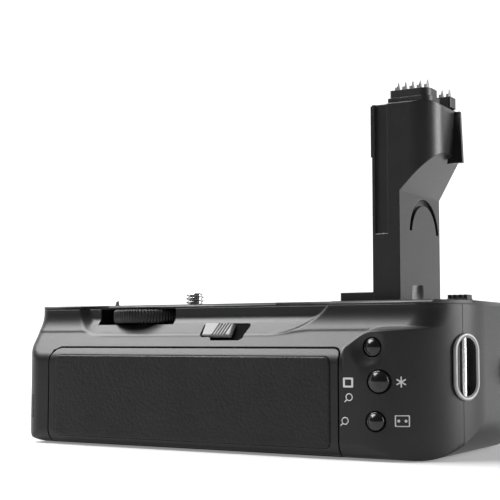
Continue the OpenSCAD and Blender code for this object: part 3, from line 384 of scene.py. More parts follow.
def rear_outline():
    """Left end, small corner, rear and large corner, one after the other as rows of (x, y)."""
    left_y = np.linspace(CLOSE, REAR + LEFT_R, 12, endpoint=False)
    small = np.linspace(180, 270, 18, endpoint=False)
    runs = [(-40, -34, 0.9), (-34, -12, 0.35), (-12, 40, 1.0), (40, 67, 0.5), (67, 76, 0.3)]
    rear_x = np.concatenate([np.arange(*run) for run in runs])
    large = np.concatenate([np.linspace(270, 325, 90, endpoint=False), np.linspace(325, 360, 22)])
    return np.concatenate([
        np.stack([np.full(len(left_y), LEFT), left_y], -1),
        arc((LEFT + LEFT_R, REAR + LEFT_R), LEFT_R, small),
        np.stack([rear_x, np.full(len(rear_x), REAR)], -1),
        arc(RIGHT_C, RIGHT_R, large)])


print("outline:", len(rear_outline()), "points")

# %% [markdown]
# ## Slope and band
# Above the drawer the wall leans back to a low upright band under the deck. A hollow fillet joins the two, and a
# fine crease runs across the slope where two inserts of the mould met. It could be cut as a separate groove; as
# a small step in the depth it follows every other form by itself.

# %% Depth of the slope
SLOPE_FOOT, SLOPE_TOP, BAND, DECK_UNDER, DECK = 28.2, 40.13, -25.0, 43.8, 45.0
BAND_R, BAND_FILLET = 5.0, 1.8
CREASE_Z, CREASE_DIP, CREASE_STEP, CREASE_WIDE = 36.4, 1.4, 0.10, 0.35


def slope_at(z):
    """Depth of the plain slope at a height: a straight line from the rear wall to the band."""
    return REAR + (z - SLOPE_FOOT) * (BAND - REAR) / (SLOPE_TOP - SLOPE_FOOT)


def slope_depth(x, z):
    """The slope less a fine step at the crease, which dips under the scoop, softly no deeper than the band,
    and drawn in along a circle at the round left end."""
    crease_z = CREASE_Z - CREASE_DIP * step_between(-27, -17, x) * (1 - step_between(43, 60, x))
    crease = CREASE_STEP * np.tanh((z - crease_z) / CREASE_WIDE)
    corner = BAND_R - np.sqrt(BAND_R ** 2 - np.clip(LEFT + BAND_R - x, 0, BAND_R) ** 2)
    return soft_min(slope_at(z) - crease, BAND, BAND_FILLET) + corner


print("the slope leans back", round(math.degrees(math.atan2(BAND - REAR, SLOPE_TOP - SLOPE_FOOT)), 1), "degrees")

# %% [markdown]
# ## Button plateau
# The three keys sit on a part of the wall that stays upright and stands out of the slope. Its edge goes up at a
# slant beside the drawer and then runs level until it fades into the corner. A distance from that edge, made
# steep, gives a ledge; the soft joins turn it into the dished rim that shows in the light.

# %% Depth of the plateau
LEDGE_STEEP, EDGE_TOP, DRAWER_SIDE = 6.0, 36.2, 71.3
SLANT_X, SLANT_Z, SLANT_ALONG, SLANT_UP = 71.0, 31.0, 0.545, 0.838


def plateau_depth(x, z):
    """The distance beyond the plateau's edge, steepened: past a slanted line, a level one or the drawer side."""
    slant = (z - SLANT_Z) * SLANT_UP - (x - SLANT_X) * SLANT_ALONG
    away = soft_max(soft_max(slant, z - EDGE_TOP, 2.0), DRAWER_SIDE - x, 1.5)
    return REAR + LEDGE_STEEP * away


print("1 mm above the plateau the ledge lies", round(float(plateau_depth(95.0, EDGE_TOP + 1)) - REAR, 1), "mm in")

# %% [markdown]
# ## Thumb scoop
# A long hollow in the band lets the thumb reach the wheel and the slider. Its left end is round and its right
# end runs out in a long curve, so the distance inside it is taken from a circle at either end and from the foot
# line between them.

# %% Depth of the scoop
SCOOP_LEFT, SCOOP_RIGHT, SCOOP_FOOT, SCOOP_RUN = -20.0, 44.0, 35.09, 20.0
SCOOP_WALL, SCOOP_FILLET, SCOOP_EDGE = BAND + 2.5, 1.4, 0.6
SIDE_STEEP, END_STEEP = 1.1, 3.0


def scoop_depth(x, z):
    """A hollow floor that rises to an upright back, softly limited by the distance inside the scoop's edge."""
    rise = DECK - SCOOP_FOOT
    run_r = (SCOOP_RUN ** 2 + rise ** 2) / (2 * rise)
    left = (rise - np.hypot(x - SCOOP_LEFT, z - DECK)) * SIDE_STEEP
    right = (run_r - np.hypot(x - SCOOP_RIGHT, z - SCOOP_FOOT - run_r)) * END_STEEP
    between = (z - SCOOP_FOOT) * SIDE_STEEP
    inside = np.where(x < SCOOP_LEFT, left, np.where(x > SCOOP_RIGHT, right, between))
    foot = slope_at(SCOOP_FOOT)
    floor = foot + (z - SCOOP_FOOT) * (SCOOP_WALL - foot) / (SLOPE_TOP - SCOOP_FOOT)
    return soft_min(soft_min(floor, SCOOP_WALL, SCOOP_FILLET), slope_depth(x, z) + inside, SCOOP_EDGE)


print("the scoop is", round(float(scoop_depth(10.0, 42.0) - slope_depth(10.0, 42.0)), 2), "mm deep at the band")

# %% [markdown]
# ## Dish round the upper key
# The upper key lies in a shallow round dish, so that a finger finds it without looking. The dish is a cap of a
# ball whose radius follows from the dish's own radius and depth. The keys' places come from the frame.

# %% Key places and the dish
BUTTONS = ["button_upper", "button_middle", "button_lower"]
FLANGE, DISH_R, DISH_DEEP, NO_CUT = 0.9, 5.5, 1.3, -99.0


def box_mm(node):
    """Low and high corner of a node of the frame, in millimetres."""
    return [np.array(corner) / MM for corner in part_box(node)]


def key_place(node):
    """Middle of a key in x and z and the radius of its cap, from the box of the node with its flange."""
    low, high = box_mm(node)
    return (low[0] + high[0]) / 2, (low[2] + high[2]) / 2, (high[0] - low[0]) / 2 - FLANGE


KEYS = [key_place(node) for node in BUTTONS]
print("keys:", [[round(float(v), 2) for v in key] for key in KEYS])


def dish_depth(x, z):
    """A cap of a ball about the upper key, and nothing outside the ball."""
    kx, kz, _ = KEYS[0]
    ball = (DISH_R ** 2 + DISH_DEEP ** 2) / (2 * DISH_DEEP)
    wall = RIGHT_C[1] - math.sqrt(RIGHT_R ** 2 - (kx - RIGHT_C[0]) ** 2)
    room = ball ** 2 - (x - kx) ** 2 - (z - kz) ** 2
    return np.where(room > 0, wall + DISH_DEEP - ball + np.sqrt(np.clip(room, 0, None)), NO_CUT)


# %% [markdown]
# ## The skin as rings
# Each ring follows the outline at one height. Near the foot the ring is drawn in along a quarter circle, with a
# larger radius at the two ends than along the rear. Higher up, every point moves in to the deepest form that
# covers it. One function makes the solid, because the cover and the drawer front are both taken out of it.

# %% Rear solid
FOOT_LEFT, FOOT_RIGHT, FOOT_REAR = 9.0, 11.0, 4.5
LEDGE_FILLET, CUT_EDGE = 1.4, 0.5


def drawn(r, z):
    """How far a quarter round of radius r at the foot draws a wall in at height z."""
    return r - np.sqrt(r * r - np.clip(r - z, 0, None) ** 2)


def rear_solid(name):
    """The solid rear half: rings of the outline, drawn in at the foot and cut by the slope, scoop and dish.
    The rim of the wall gets softer from the drawer to the plateau's far end."""
    points = rear_outline()
    foot_z = FOOT_RIGHT * (1 - np.cos(np.linspace(0, math.pi / 2, 22)))
    fine_z = [np.arange(*run) for run in ((26.25, 30, 0.25), (30, 38, 0.125), (38, DECK, 0.25))]
    z = np.concatenate([foot_z, np.linspace(12.5, 26, 8), *fine_z])[:, None]
    x = np.clip(points[:, 0], LEFT + drawn(FOOT_LEFT, z), RIGHT - drawn(FOOT_RIGHT, z))
    y = np.maximum(points[:, 1], REAR + drawn(FOOT_REAR, z))
    rim = 1.0 + 2.0 * step_between(70, 72, x) + 2.0 * step_between(84, 97, x)
    y = soft_max(y, soft_min(slope_depth(x, z), plateau_depth(x, z), LEDGE_FILLET), rim)
    y = soft_max(y, scoop_depth(x, z), CUT_EDGE)
    y = soft_max(y, dish_depth(x, z), CUT_EDGE)
    print(name, "has", len(z), "rings of", len(points), "points")
    return outward(loft(name, np.stack([x, np.minimum(y, CLOSE), z + 0 * x], -1)))


# %% [markdown]
# ## Onto the slope and onto the corner
# The switch lies in the plane of the slope, and the strap oval on the round right corner. It is easier to draw
# them flat, with x along, y up and z out, and to carry the points over, than to draw them in place.

# %% Carry flat pieces over
def on_slope(obj, x, up):
    """Turns a flat piece by the slope's angle: up becomes up along the slope, and out its normal."""
    a = math.atan((SLOPE_TOP - SLOPE_FOOT) / (BAND - REAR))
    p = points_of(obj)
    v = p[:, 1] + up
    return carried(obj, np.stack([p[:, 0] + x, REAR + v * math.cos(a) - p[:, 2] * math.sin(a),
                                  SLOPE_FOOT + v * math.sin(a) + p[:, 2] * math.cos(a)], -1))


def on_corner(obj, turn, height):
    """Sets a flat piece against the round right corner: out is the radius at that angle, along its tangent."""
    a = math.radians(turn)
    p = points_of(obj)
    out = np.array([math.cos(a), -math.sin(a)])
    along = np.array([math.sin(a), math.cos(a)])
    flat = RIGHT_C + (RIGHT_R + p[:, 2:]) * out + p[:, :1] * along
    return outward(carried(obj, np.concatenate([flat, p[:, 1:2] + height], 1)))


# %% [markdown]
# ## Openings of the rear cover
# The cover has a large hole for the drawer front, a window and a room for the wheel, a seat for the switch, a
# slot for the strap, a seat for the cord cover and a hole for each key. Each shape below keeps a small gap to
# the part that goes into it, as the real mouldings do, and the sharp joint line is what makes them read as
# separate parts.

# %% Shapes of the openings
GAP, SEAM, PANEL_BACK = 0.45, -16.5, -29.5
PANEL_LOW, PANEL_HIGH, SHARP_R = (-36.0, 0.5), (70.0, 31.0), 0.01
panel_hole = round_outline((PANEL_LOW[0] - GAP, -1.0), (PANEL_HIGH[0] + GAP, PANEL_HIGH[1] + GAP),
                           (SHARP_R, SHARP_R, 2.0 + GAP, 4.0 + GAP))
SWITCH_X, SWITCH_UP = 19.6, 6.4
switch_outline = np.array([(0.9, 7.2), (0.0, 6.4), (0.7, 1.9), (1.5, 1.2), (4.6, 1.2), (5.2, 0.0), (15.3, 0.0),
                           (16.4, 0.9), (17.0, 6.2), (16.2, 7.2)])[::-1]
port_outline = np.concatenate([[(-60, -17.35), (-45.85, -17.35)],
                               arc((-40, -25), 5.85, np.linspace(180, 240.8, 10)),
                               [(-42.85, -60), (-60, -60)]])
STRAP_TURN, STRAP_Z, STRAP_R, STRAP_HALF = 22, 25.9, 5.0, 4.5
slot_end = arc((0, STRAP_HALF), STRAP_R, np.linspace(0, 180, 25))
slot_shape = np.concatenate([slot_end, -slot_end])
WHEEL = (box_mm("wheel_axle")[0] + box_mm("wheel_axle")[1])[:2] / 2
print("the wheel stands at", [round(float(v), 2) for v in WHEEL])

# %% Cut the rear cover
ABOVE, BELOW, BEHIND, OUT = 60, -5, -60, 9
WHEEL_FLOOR, WHEEL_ROOM_R, WINDOW_HALF, GEAR_FLOOR, GEAR_ROOM_R = 38.63, 12.0, 15, 33.4, 7.54
PORT_LOW, PORT_HIGH, BASE_DEEP, SWITCH_DEEP, STRAP_DEEP = 7.85, 15.65, 1.6, 2.4, 3.6
KEY_PLAY, FLANGE_PLAY, KEY_ROOM_REAR, KEY_ROOM_FRONT = 0.3, 0.4, -28.5, -10
openings = [
    block("front_half", (-90, SEAM, BELOW), (140, 60, 90)),
    block("above_deck", (-90, -90, DECK_UNDER), (140, 90, 90)),
    block("drawer_bay", (-35.55, BEHIND, 7.0), (69.55, 0, 30.4)),
    prism("panel_hole", panel_hole, BEHIND, PANEL_BACK + GAP, "y"),
    prism("wheel_room", circle(*WHEEL, WHEEL_ROOM_R), WHEEL_FLOOR, ABOVE),
    prism("gear_room", circle(*WHEEL, GEAR_ROOM_R), GEAR_FLOOR, ABOVE),
    block("wheel_window", (WHEEL[0] - WINDOW_HALF, BEHIND, WHEEL_FLOOR),
          (WHEEL[0] + WINDOW_HALF, WHEEL[1], ABOVE)),
    prism("port_seat", port_outline, PORT_LOW, PORT_HIGH),
    prism("base_seat", round_outline((-30.1, -20.1), (64.1, 24.1), (6, 6, 6, 6)), BELOW, BASE_DEEP),
    on_slope(prism("switch_seat", switch_outline, -SWITCH_DEEP, OUT), SWITCH_X, SWITCH_UP),
    on_corner(prism("strap_seat", slot_shape, -STRAP_DEEP, OUT), STRAP_TURN, STRAP_Z),
]
for k, (x, z, r) in enumerate(KEYS):
    key_room = circle(x, z, r + FLANGE + FLANGE_PLAY)
    openings.append(prism(f"key_hole_{k}", circle(x, z, r + KEY_PLAY), BEHIND, -20, "y"))
    openings.append(prism(f"key_room_{k}", key_room, KEY_ROOM_REAR, KEY_ROOM_FRONT, "y"))
rear_shell = combine(rear_solid("rear_shell"), openings)
place(rear_shell, "housing", "black_shell", sharp=32, stands_for=["rear_cover"])

# %% [markdown]
# ## The deck's corner
# The deck is a flat plate over the rear skin. Its left rear corner is rounded to follow the band below it. The
# plate of the frame is good as it is, so a copy of it loses a small wedge with a hollow side, instead of being
# drawn anew. The copy is welded first, because a cut needs a closed mesh.

# %% Rounded deck
WELD_WITHIN = 1e-6


def carve(node, name, tools):
    """A copy of a node's own mesh, with its points welded and the tools cut out of it."""
    mesh = nodes[node].data.copy()
    weld = bmesh.new()
    weld.from_mesh(mesh)
    bmesh.ops.remove_doubles(weld, verts=weld.verts, dist=WELD_WITHIN)
    weld.to_mesh(mesh)
    weld.free()
    obj = bpy.data.objects.new(name, mesh)
    bpy.context.scene.collection.objects.link(obj)
    return combine(obj, tools)


corner_arc = arc((LEFT + BAND_R, BAND + BAND_R), BAND_R, np.linspace(270, 180, 16))
corner_wedge = np.concatenate([[(LEFT - 2, BAND - 2), (LEFT + BAND_R, BAND - 2)], corner_arc,
                               [(LEFT - 2, BAND + BAND_R)]])
deck = carve("top_plate", "deck_plate", [prism("deck_wedge", corner_wedge, DECK_UNDER - 1, DECK + 1)])
place(deck, "housing", slot_of["top_plate"], sharp=32, stands_for=["top_plate"])

# %% [markdown]
# ## The drawer front
# The drawer's front panel belongs to the same skin: its upper border carries the slope on, and a rubber pad lies
# in a shallow seat on it. It could be modelled by itself, but taking it out of the same solid keeps the lines
# across the gap true.

# %% Panel with a seat
PAD_LOW, PAD_HIGH, PAD_R, PAD_SEAT = (-33.6, 2.6), (67.6, 28.8), 2, 0.8
panel_outline = round_outline(PANEL_LOW, PANEL_HIGH, (SHARP_R, SHARP_R, 2, 4))
panel_tool = prism("panel_outline", panel_outline, BEHIND, PANEL_BACK, "y")
seat_tool = prism("pad_seat", round_outline(PAD_LOW, PAD_HIGH, [PAD_R] * 4), BEHIND, REAR + PAD_SEAT, "y")
drawer_front = combine(rear_solid("drawer_front"), [panel_tool], "INTERSECT")
combine(drawer_front, [seat_tool])
place(drawer_front, "magazine", "black_shell", sharp=32, stands_for=["magazine_panel"])

# %% [markdown]
# ## The rubber pad
# The pad is a sheet of rubber glued into its seat. Its edge rolls over into a face that is slightly full, which
# is what gives the broad soft light on it. Rings of a rounded rectangle, each set further in and a little
# further out, make that form with few points.

# %% Pad
def rubber_pad():
    """Rounded-rectangle rings: up the side, over a quarter-round edge, then inward on a face that is
    slightly full in the middle."""
    edge, proud, full, play = 0.55, 0.35, 0.12, 0.05
    turn = np.linspace(0, math.pi / 2, 7)
    inset = np.concatenate([[0.0], edge * (1 - np.cos(turn)), [1.5, 3, 5, 7.5, 10, 12]])
    face = proud + full * np.sin(np.linspace(0.2, 1.57, 6))
    out = np.concatenate([[-PAD_SEAT], proud - edge + edge * np.sin(turn), face])
    low, high = np.array(PAD_LOW) + play, np.array(PAD_HIGH) - play
    sheet = np.stack([round_outline(low + d, high - d, [max(PAD_R - 0.8 * d, 0.3)] * 4) for d in inset])
    y = np.broadcast_to(REAR - out[:, None], sheet.shape[:2])
    return loft("drawer_pad", np.stack([sheet[..., 0], y, sheet[..., 1]], -1))


place(rubber_pad(), "magazine", "black_rubber", sharp=50, stands_for=["magazine_rubber"])

# %% [markdown]
# ## Keys
# Each rear key is a polished dome on a short stem, with a flange behind the cover so that it can't fall out. A
# lathe makes such a cap: a profile of radius and height is turned about the key's own line of travel. A
# squashed ball would look alike from afar, but its rim would lack the rolled edge that catches the light.

# %% Domed keys
POLE = 0.02


def turned(profile, turns=72):
    """A profile of (radius, height) points turned about the z axis, as a sheet of rings."""
    p = np.asarray(profile, float)
    a = np.linspace(0, 2 * math.pi, turns, endpoint=False)
    return np.stack([p[:, :1] * np.cos(a), p[:, :1] * np.sin(a), np.broadcast_to(p[:, 1:], (len(p), turns))], -1)


def domed_key(name, node, key):
    """Flange, stem, a rolled edge and a dome whose height falls with the square of the radius."""
    x, z, r = key
    low, high = box_mm(node)
    back, length = high[1], high[1] - low[1]
    edge, sunk, crown, flange_h = 0.45, 0.75, 0.95, 1.2
    turn = np.linspace(0, math.pi / 2, 6)
    rim = [(r - edge + edge * math.cos(t), length - sunk - edge + edge * math.sin(t)) for t in turn]
    reach = np.linspace(r - edge, POLE, 12)[1:]
    dome = [(c, length - sunk + crown * (1 - (c / (r - edge)) ** 2)) for c in reach]
    sheet = turned([(POLE, 0), (r + FLANGE, 0), (r + FLANGE, flange_h), (r, flange_h)] + rim + dome)
    return loft(name, np.stack([x + sheet[..., 0], back - sheet[..., 2], z + sheet[..., 1]], -1))


for name, node, key in zip(["key_upper", "key_middle", "key_lower"], BUTTONS, KEYS):
    place(domed_key(name, node, key), node, "gloss_black", sharp=50, stands_for=[node])

# %% [markdown]
# ## Camera screw
# The screw that draws the camera down is a quarter-inch thread with twenty turns to the inch, so its pitch is
# 1.27 mm. A Screw modifier could wind a profile, but a thread is also one ridge round the shank: at each angle
# and height the radius follows a sixty-degree wave whose phase moves on by one pitch in each turn. That gives a
# closed mesh at once, and the ridge fades at the tip by itself.

# %% Threaded screw
PITCH, CREST, THREAD_DEEP, SHANK_R = 1.27, 3.175, 0.72, 2.975
SCREW_FOOT, SCREW_TIP, TIP_R = 31.4, 49.5, 2.55


def threaded_screw():
    """Radius over (height, angle): a smooth shank up to the deck and a ridge wound round it above, faded out
    near the tip."""
    turns = 96
    z = np.concatenate([[SCREW_FOOT], np.linspace(DECK - 0.1, SCREW_TIP, 120)])
    a = np.linspace(0, 2 * math.pi, turns, endpoint=False)
    phase = (z[:, None] / PITCH - a / (2 * math.pi)) % 1
    wave = np.clip(1.25 - 2.5 * np.abs(phase - 0.5), 0, 1)
    r = np.where(z[:, None] < DECK + 0.2, SHANK_R, CREST - THREAD_DEEP * wave)
    r = np.minimum(r, TIP_R + (SCREW_TIP - z[:, None]) * 0.9)
    r = np.concatenate([np.full((1, turns), POLE), r, np.full((1, turns), POLE)])
    z = np.broadcast_to(np.concatenate([z[:1], z, z[-1:]])[:, None], r.shape)
    return loft("screw_thread", np.stack([r * np.cos(a), r * np.sin(a), z], -1))


place(threaded_screw(), "camera_screw", "bright_steel", sharp=60, stands_for=["camera_screw"])

# %% [markdown]
# ## Thumbwheel grip
# The thumbwheel's rim is cut with fine upright ridges. The ring below goes round the wheel's own rim and carries
# seventy-two of them, with the upper and lower edges rolled in so that they don't bite the thumb. An array of
# bars would do as well, but one wave round the ring keeps it a single closed skin.

# %% Ridged ring
RIDGES = 72


def ridged_ring():
    """Radius over (profile, angle): a rounded ring whose outer face rises and falls once for each ridge."""
    a = np.linspace(0, 2 * math.pi, RIDGES * 8, endpoint=False)
    ridge = np.clip(np.cos(RIDGES * a) * 1.4, -1, 1) * 0.5 + 0.5
    low, high = 39.15, 43.48
    z = np.array([low, low, low + 0.15, low + 0.5, (low + high) / 2, high - 0.5, high - 0.15, high, high])
    base = np.array([9.8, 11.1, 11.42, 11.56, 11.58, 11.56, 11.42, 11.1, 9.8])
    full = np.array([0, 0, 0.12, 0.32, 0.34, 0.32, 0.12, 0, 0])
    r = base[:, None] + full[:, None] * ridge
    sheet = [WHEEL[0] + r * np.cos(a), WHEEL[1] + r * np.sin(a), np.broadcast_to(z[:, None], r.shape)]
    return ring_loft("wheel_ridges", np.stack(sheet, -1))


place(ridged_ring(), "thumbwheel", "dark_insert")

# %% [markdown]
# ## Power slider
# The slider is a small silver plate in a black recess. Its left part is plain; slanted grooves to the right of it
# give the thumb a hold. Cutting each groove with a tool is possible, but a height over the plate does it in one
# sum: a flat with rolled edges, from which a leaning wave is taken.

# %% Slider with slanted grooves
SLIDER_LEFT, SLIDER_FOOT, SLIDER_L, SLIDER_H = 1.3, 1.9, 10.2, 4.6
SLIDER_TOP, SLIDER_UNDER, GROOVE_STEP, GROOVE_DEEP = 0.1, -1.4, 1.06, 0.9


def slider_top():
    """Height over (along, across) in the slider's own plane: rolled edges less grooves that lean with height."""
    u, v = np.meshgrid(np.linspace(0, 1, 181), np.linspace(0, 1, 41))
    x, y = SLIDER_LEFT + SLIDER_L * u, SLIDER_FOOT + SLIDER_H * v
    edge_x = np.minimum(x - SLIDER_LEFT, SLIDER_LEFT + SLIDER_L - x)
    edge = np.minimum(edge_x, np.minimum(y - SLIDER_FOOT, SLIDER_FOOT + SLIDER_H - y))
    lean = x - SLIDER_LEFT - 0.32 * (y - SLIDER_FOOT)
    groove = 0.5 + 0.5 * np.tanh(5 * (np.sin(2 * math.pi * (lean - 3.6) / GROOVE_STEP) - 0.1))
    band = step_between(3.5, 3.7, lean) * (1 - step_between(8.4, 8.6, lean))
    rolled = SLIDER_TOP - 0.3 + 0.3 * np.clip(edge / 0.3, 0, 1) ** 0.5
    return np.stack([x, y, rolled - GROOVE_DEEP * groove * band * step_between(0.1, 0.3, edge)], -1)


def ribbed_slider():
    """The upper sheet, a skirt straight down from its border, and a flat underside."""
    sheet = slider_top()
    rows, cols = sheet.shape[:2]
    loop = np.concatenate([np.arange(cols), np.arange(1, rows) * cols + cols - 1,
                           (rows - 1) * cols + np.arange(cols - 2, -1, -1), np.arange(rows - 2, 0, -1) * cols])
    skirt = sheet.reshape(-1, 3)[loop].copy()
    skirt[:, 2] = SLIDER_UNDER
    under = rows * cols + np.arange(len(loop))
    faces = grid_faces(rows, cols)
    faces += np.stack([loop, under, np.roll(under, -1), np.roll(loop, -1)], -1).tolist()
    faces.append(under[::-1].tolist())
    cap = new_object("slider_cap", np.concatenate([sheet.reshape(-1, 3), skirt]), faces)
    return on_slope(cap, SWITCH_X, SWITCH_UP)


place(ribbed_slider(), "power_slider", "satin_silver", stands_for=["power_slider"])

# %% [markdown]
# ## Strap bracket
# A plated oval ring at the right end takes a carrying strap. A bevelled curve could make its lip; here a round
# bead is carried along the oval slot, so its mesh closes on itself both ways. The cup behind it and the upright
# bar across it come from the frame.

# %% Plated lip
BEAD_R, BEAD_IN, BEAD_OUT = 0.6, 0.4, 0.2


def strap_lip():
    """A round bead carried along the slot: bead direction times the path's outward normal and the axis."""
    turn = np.radians(np.linspace(0, 180, 33))
    half = np.stack([np.cos(turn), np.sin(turn)], -1)
    normal = np.concatenate([half, -half])
    middle = np.repeat([STRAP_HALF, -STRAP_HALF], len(turn))
    b = np.linspace(0, 2 * math.pi, 20, endpoint=False)[:, None]
    reach = STRAP_R - BEAD_IN + BEAD_R * np.cos(b)
    x = reach * normal[:, 0]
    y = middle + reach * normal[:, 1]
    ring = ring_loft("strap_lip", np.stack([x, y, BEAD_OUT + BEAD_R * np.sin(b) + 0 * x], -1))
    return on_corner(ring, STRAP_TURN, STRAP_Z)


place(strap_lip(), "housing", "bright_steel", fin_steel, sharp=60)

# %% [markdown]
# ## Screw heads
# Small screws hold the base plate and the column. Each head has a cross recess for the driver: two crossed bars
# sunk into a copy of the frame's screws. The screws of a node stand in the corners of its box, so their places
# are read from there.

# %% Cross recesses
HEAD_R, CROSS_HALF, CROSS_THICK, CROSS_DEEP = 1.9, 1.3, 0.3, 0.7


def cross_recess(name, x, y, z):
    """Two crossed bars about a point, as deep above it as below."""
    bars = [(CROSS_HALF, CROSS_THICK), (CROSS_THICK, CROSS_HALF)]
    return [block(f"{name}_{k}", (x - u, y - v, z - CROSS_DEEP), (x + u, y + v, z + CROSS_DEEP))
            for k, (u, v) in enumerate(bars)]


for node, head in (("base_screws", "low"), ("column_screws", "high")):
    low, high = box_mm(node)
    head_z = low[2] if head == "low" else high[2]
    across, along = ({round(low[k] + HEAD_R, 3), round(high[k] - HEAD_R, 3)} for k in (0, 1))
    recesses = [bar for x in sorted(across) for y in sorted(along)
                for bar in cross_recess(f"{node}_bar", x, y, head_z)]
    heads = carve(node, f"{node}_crossed", recesses)
    place(heads, "housing", slot_of[node], stands_for=[node])

# %% [markdown]
# ## Printed marks
# Small white signs beside the keys tell the user what each key does. They are printed, so they have almost no
# thickness. An image on the wall would need unwrapping; each sign is drawn flat instead and then bent with the
# wall: beyond the place where the corner begins, the length along the sign becomes an angle round the corner.

# %% Print on the wall
PRINT_LOW, PRINT_HIGH = -0.03, 0.03


def on_wall(obj, x, z):
    """Bends a flat piece, x along the wall, y up and z out, to a place on the rear wall and its corner."""
    start = RIGHT_R * math.asin((x - RIGHT_C[0]) / RIGHT_R)
    p = points_of(obj)
    along = start + p[:, 0]
    a = np.clip(along, 0, None) / RIGHT_R
    r = RIGHT_R + p[:, 2]
    return carried(obj, np.stack([RIGHT_C[0] + np.minimum(along, 0) + r * np.sin(a),
                                  RIGHT_C[1] - r * np.cos(a), z + p[:, 1]], -1))


def frame_mark(name, outline, inner):
    """A closed band of print between an outline, walked in even steps, and the same outline nearer its middle."""
    closed = np.concatenate([outline, outline[:1]])
    walked = np.concatenate([[0], np.cumsum(np.hypot(*np.diff(closed, axis=0).T))])
    steps = np.linspace(0, walked[-1], 96, endpoint=False)
    flat = np.stack([np.interp(steps, walked, closed[:, k]) for k in (0, 1)], -1)
    middle = flat.mean(0)
    inside = middle + (flat - middle) * inner
    rings = [(flat, PRINT_LOW), (flat, PRINT_HIGH), (inside, PRINT_HIGH), (inside, PRINT_LOW)]
    return ring_loft(name, np.stack([np.concatenate([ring, np.full((len(ring), 1), h)], 1) for ring, h in rings]))


def bar_mark(name, low, high, turn):
    """A straight bar of print, turned in its own plane."""
    u = np.linspace(low[0], high[0], 8)
    outline = np.concatenate([np.stack([u, np.full(8, low[1])], -1), np.stack([u[::-1], np.full(8, high[1])], -1)])
    c, s = math.cos(turn), math.sin(turn)
    return prism(name, outline @ np.array([[c, s], [-s, c]]), -0.02, 0.04)


# %% Star, field, lenses and square
STAR_AT, FIELD_AT, SQUARE_AT, LENSES_AT = (88.3, 21.8), (88.5, 11.0), (73.3, 21.5), [(73.6, 17.4), (72.3, 10.7)]
NIB = [0.2] * 4
marks = []
for k in range(3):
    arm = bar_mark(f"star_{k}", (-1.5, -0.2), (1.5, 0.2), k * math.pi / 3 + math.pi / 6)
    marks.append(on_wall(arm, *STAR_AT))
field = frame_mark("field_frame", round_outline((-2.1, -1.6), (2.1, 1.6), NIB, 3), 0.84)
marks.append(on_wall(field, *FIELD_AT))
for k, u in enumerate((-1.0, 1.0)):
    marks.append(on_wall(frame_mark(f"field_dot_{k}", circle(u, 0, 0.42, 16), 0.2), *FIELD_AT))
for k, spot in enumerate(LENSES_AT):
    marks.append(on_wall(frame_mark(f"lens_{k}", circle(0, 0, 1.1, 32), 0.74), *spot))
    marks.append(on_wall(bar_mark(f"handle_{k}", (1.1, -0.16), (2.0, 0.16), math.radians(225)), *spot))
square = frame_mark("grid_frame", round_outline((-1.6, -1.4), (1.6, 1.4), NIB, 3), 0.62)
marks.append(on_wall(square, *SQUARE_AT))
for mark in marks:
    place(mark, "housing", "black_shell", print_white)

# %% [markdown]
# ## Studio paper
# The grip stands on a white sweep. A lamp bright enough to make the paper white would also wash out the black
# plastic, so the paper glows for the camera and for reflections alone and stays an ordinary pale surface for
# the light that falls on it. The floor's glow fades towards the camera, which keeps the upright faces black,
# and the wall's glow fades to the right, which models the round corner.

# %% Floor and wall
def glow(name, tone, levels, spots, axis):
    """White to the camera and in reflections, and an ordinary pale surface to the light that falls on it.
    The glow goes from one level to the other between two spots on one axis."""
    tree = Tree(name)
    along = tree.node("SeparateXYZ", {"Vector": tree.node("TexCoord")["Object"]})[axis]
    level = tree.spread(along, spots, levels, interpolation_type="SMOOTHSTEP")
    rays = tree.node("LightPath")
    seen = tree.maths("MAXIMUM", rays["Is Camera Ray"], rays["Is Glossy Ray"])
    seen = tree.maths("MAXIMUM", seen, rays["Is Transmission Ray"])
    light = tree.node("Emission", {"Strength": tree.maths("MULTIPLY", seen, level)})["Emission"]
    matte = tree.node("BsdfDiffuse", {"Color": (*tone, 1)})["BSDF"]
    tree.node("OutputMaterial", {"Surface": tree.node("AddShader", {0: light, 1: matte})["Shader"]})
    return tree.mat


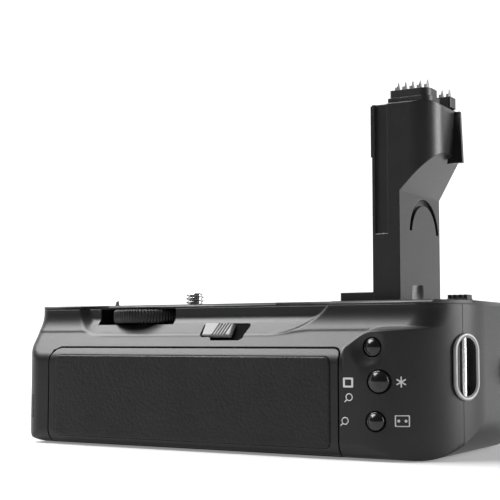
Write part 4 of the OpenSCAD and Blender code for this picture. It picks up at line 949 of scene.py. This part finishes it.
FLOOR_HALF, FLOOR_Z, WALL_R, WALL_TOP = 2500, -0.4, 1500, 1600
floor_corners = [(u * FLOOR_HALF, v * FLOOR_HALF, FLOOR_Z) for u, v in ((-1, -1), (1, -1), (1, 1), (-1, 1))]
floor = new_object("floor", floor_corners, [[0, 1, 2, 3]])
floor.data.materials.append(glow("floor_paper", (0.5, 0.5, 0.5), (0.25, 1.0), (0.0, 0.6), "Y"))
bend = arc((0, 0), WALL_R, np.linspace(-12, 192, 60))
sweep = np.stack([np.concatenate([bend, np.full((len(bend), 1), h)], 1) for h in (-1, WALL_TOP)])
wall = new_object("wall", sweep, grid_faces(*sweep.shape[:2]))
wall.data.materials.append(glow("wall_paper", (0.3, 0.3, 0.3), (1.0, 0.5), (0.0, 1.1), "X"))
print("stage: floor and wall")

# %% [markdown]
# ## Light
# One large soft lamp above and to the left draws the slope and the deck and gives the soft shadow. A weaker one
# low at the right lifts the right end and the flank of the column. The side towards the camera gets no lamp, so
# the upright faces stay black and the slope alone shines.

# %% Lamps and world
def soft_box(name, centre, aim, size, watts):
    """A rectangular lamp that faces a point."""
    lamp = bpy.data.lights.new(name, "AREA")
    lamp.shape = "RECTANGLE"
    lamp.size, lamp.size_y = size
    lamp.energy = watts
    obj = bpy.data.objects.new(name, lamp)
    bpy.context.scene.collection.objects.link(obj)
    obj.location = centre
    obj.rotation_euler = (Vector(aim) - Vector(centre)).to_track_quat("-Z", "Y").to_euler()
    print(name, watts, "W")


soft_box("key_light", (-0.62, -0.22, 1.10), (0.02, -0.02, 0.03), (0.9, 0.9), 36)
soft_box("fill_light", (0.92, 0.30, 0.24), (0.09, -0.01, 0.03), (0.5, 0.6), 9)
world = bpy.data.worlds.new("studio")
bpy.context.scene.world = world
world.use_nodes = True
world.node_tree.nodes["Background"].inputs["Color"].default_value = (1, 1, 1, 1)
world.node_tree.nodes["Background"].inputs["Strength"].default_value = 0.06

# %% [markdown]
# ## Camera
# The straight edges in the photo give the camera: it stands thirty degrees to the right of the rear, just below
# deck height, and looks up by less than five degrees through a short telephoto lens.

# %% Camera and view
EYE, HEADING, TILT, LENS_MM = (0.2152, -0.3298, 0.0328), (-0.506, 0.8625), math.radians(4.6), 82.8
camera_data = bpy.data.cameras.new("camera")
camera_data.sensor_width = 36.0
camera_data.lens = LENS_MM
camera_data.clip_start = 0.01
camera = bpy.data.objects.new("camera", camera_data)
bpy.context.scene.collection.objects.link(camera)
camera.location = EYE
look = Vector((HEADING[0] * math.cos(TILT), HEADING[1] * math.cos(TILT), math.sin(TILT)))
camera.rotation_euler = look.to_track_quat("-Z", "Y").to_euler()
bpy.context.scene.camera = camera
bpy.context.scene.view_settings.view_transform = "Standard"
print("camera looks up", round(math.degrees(TILT), 1), "degrees")
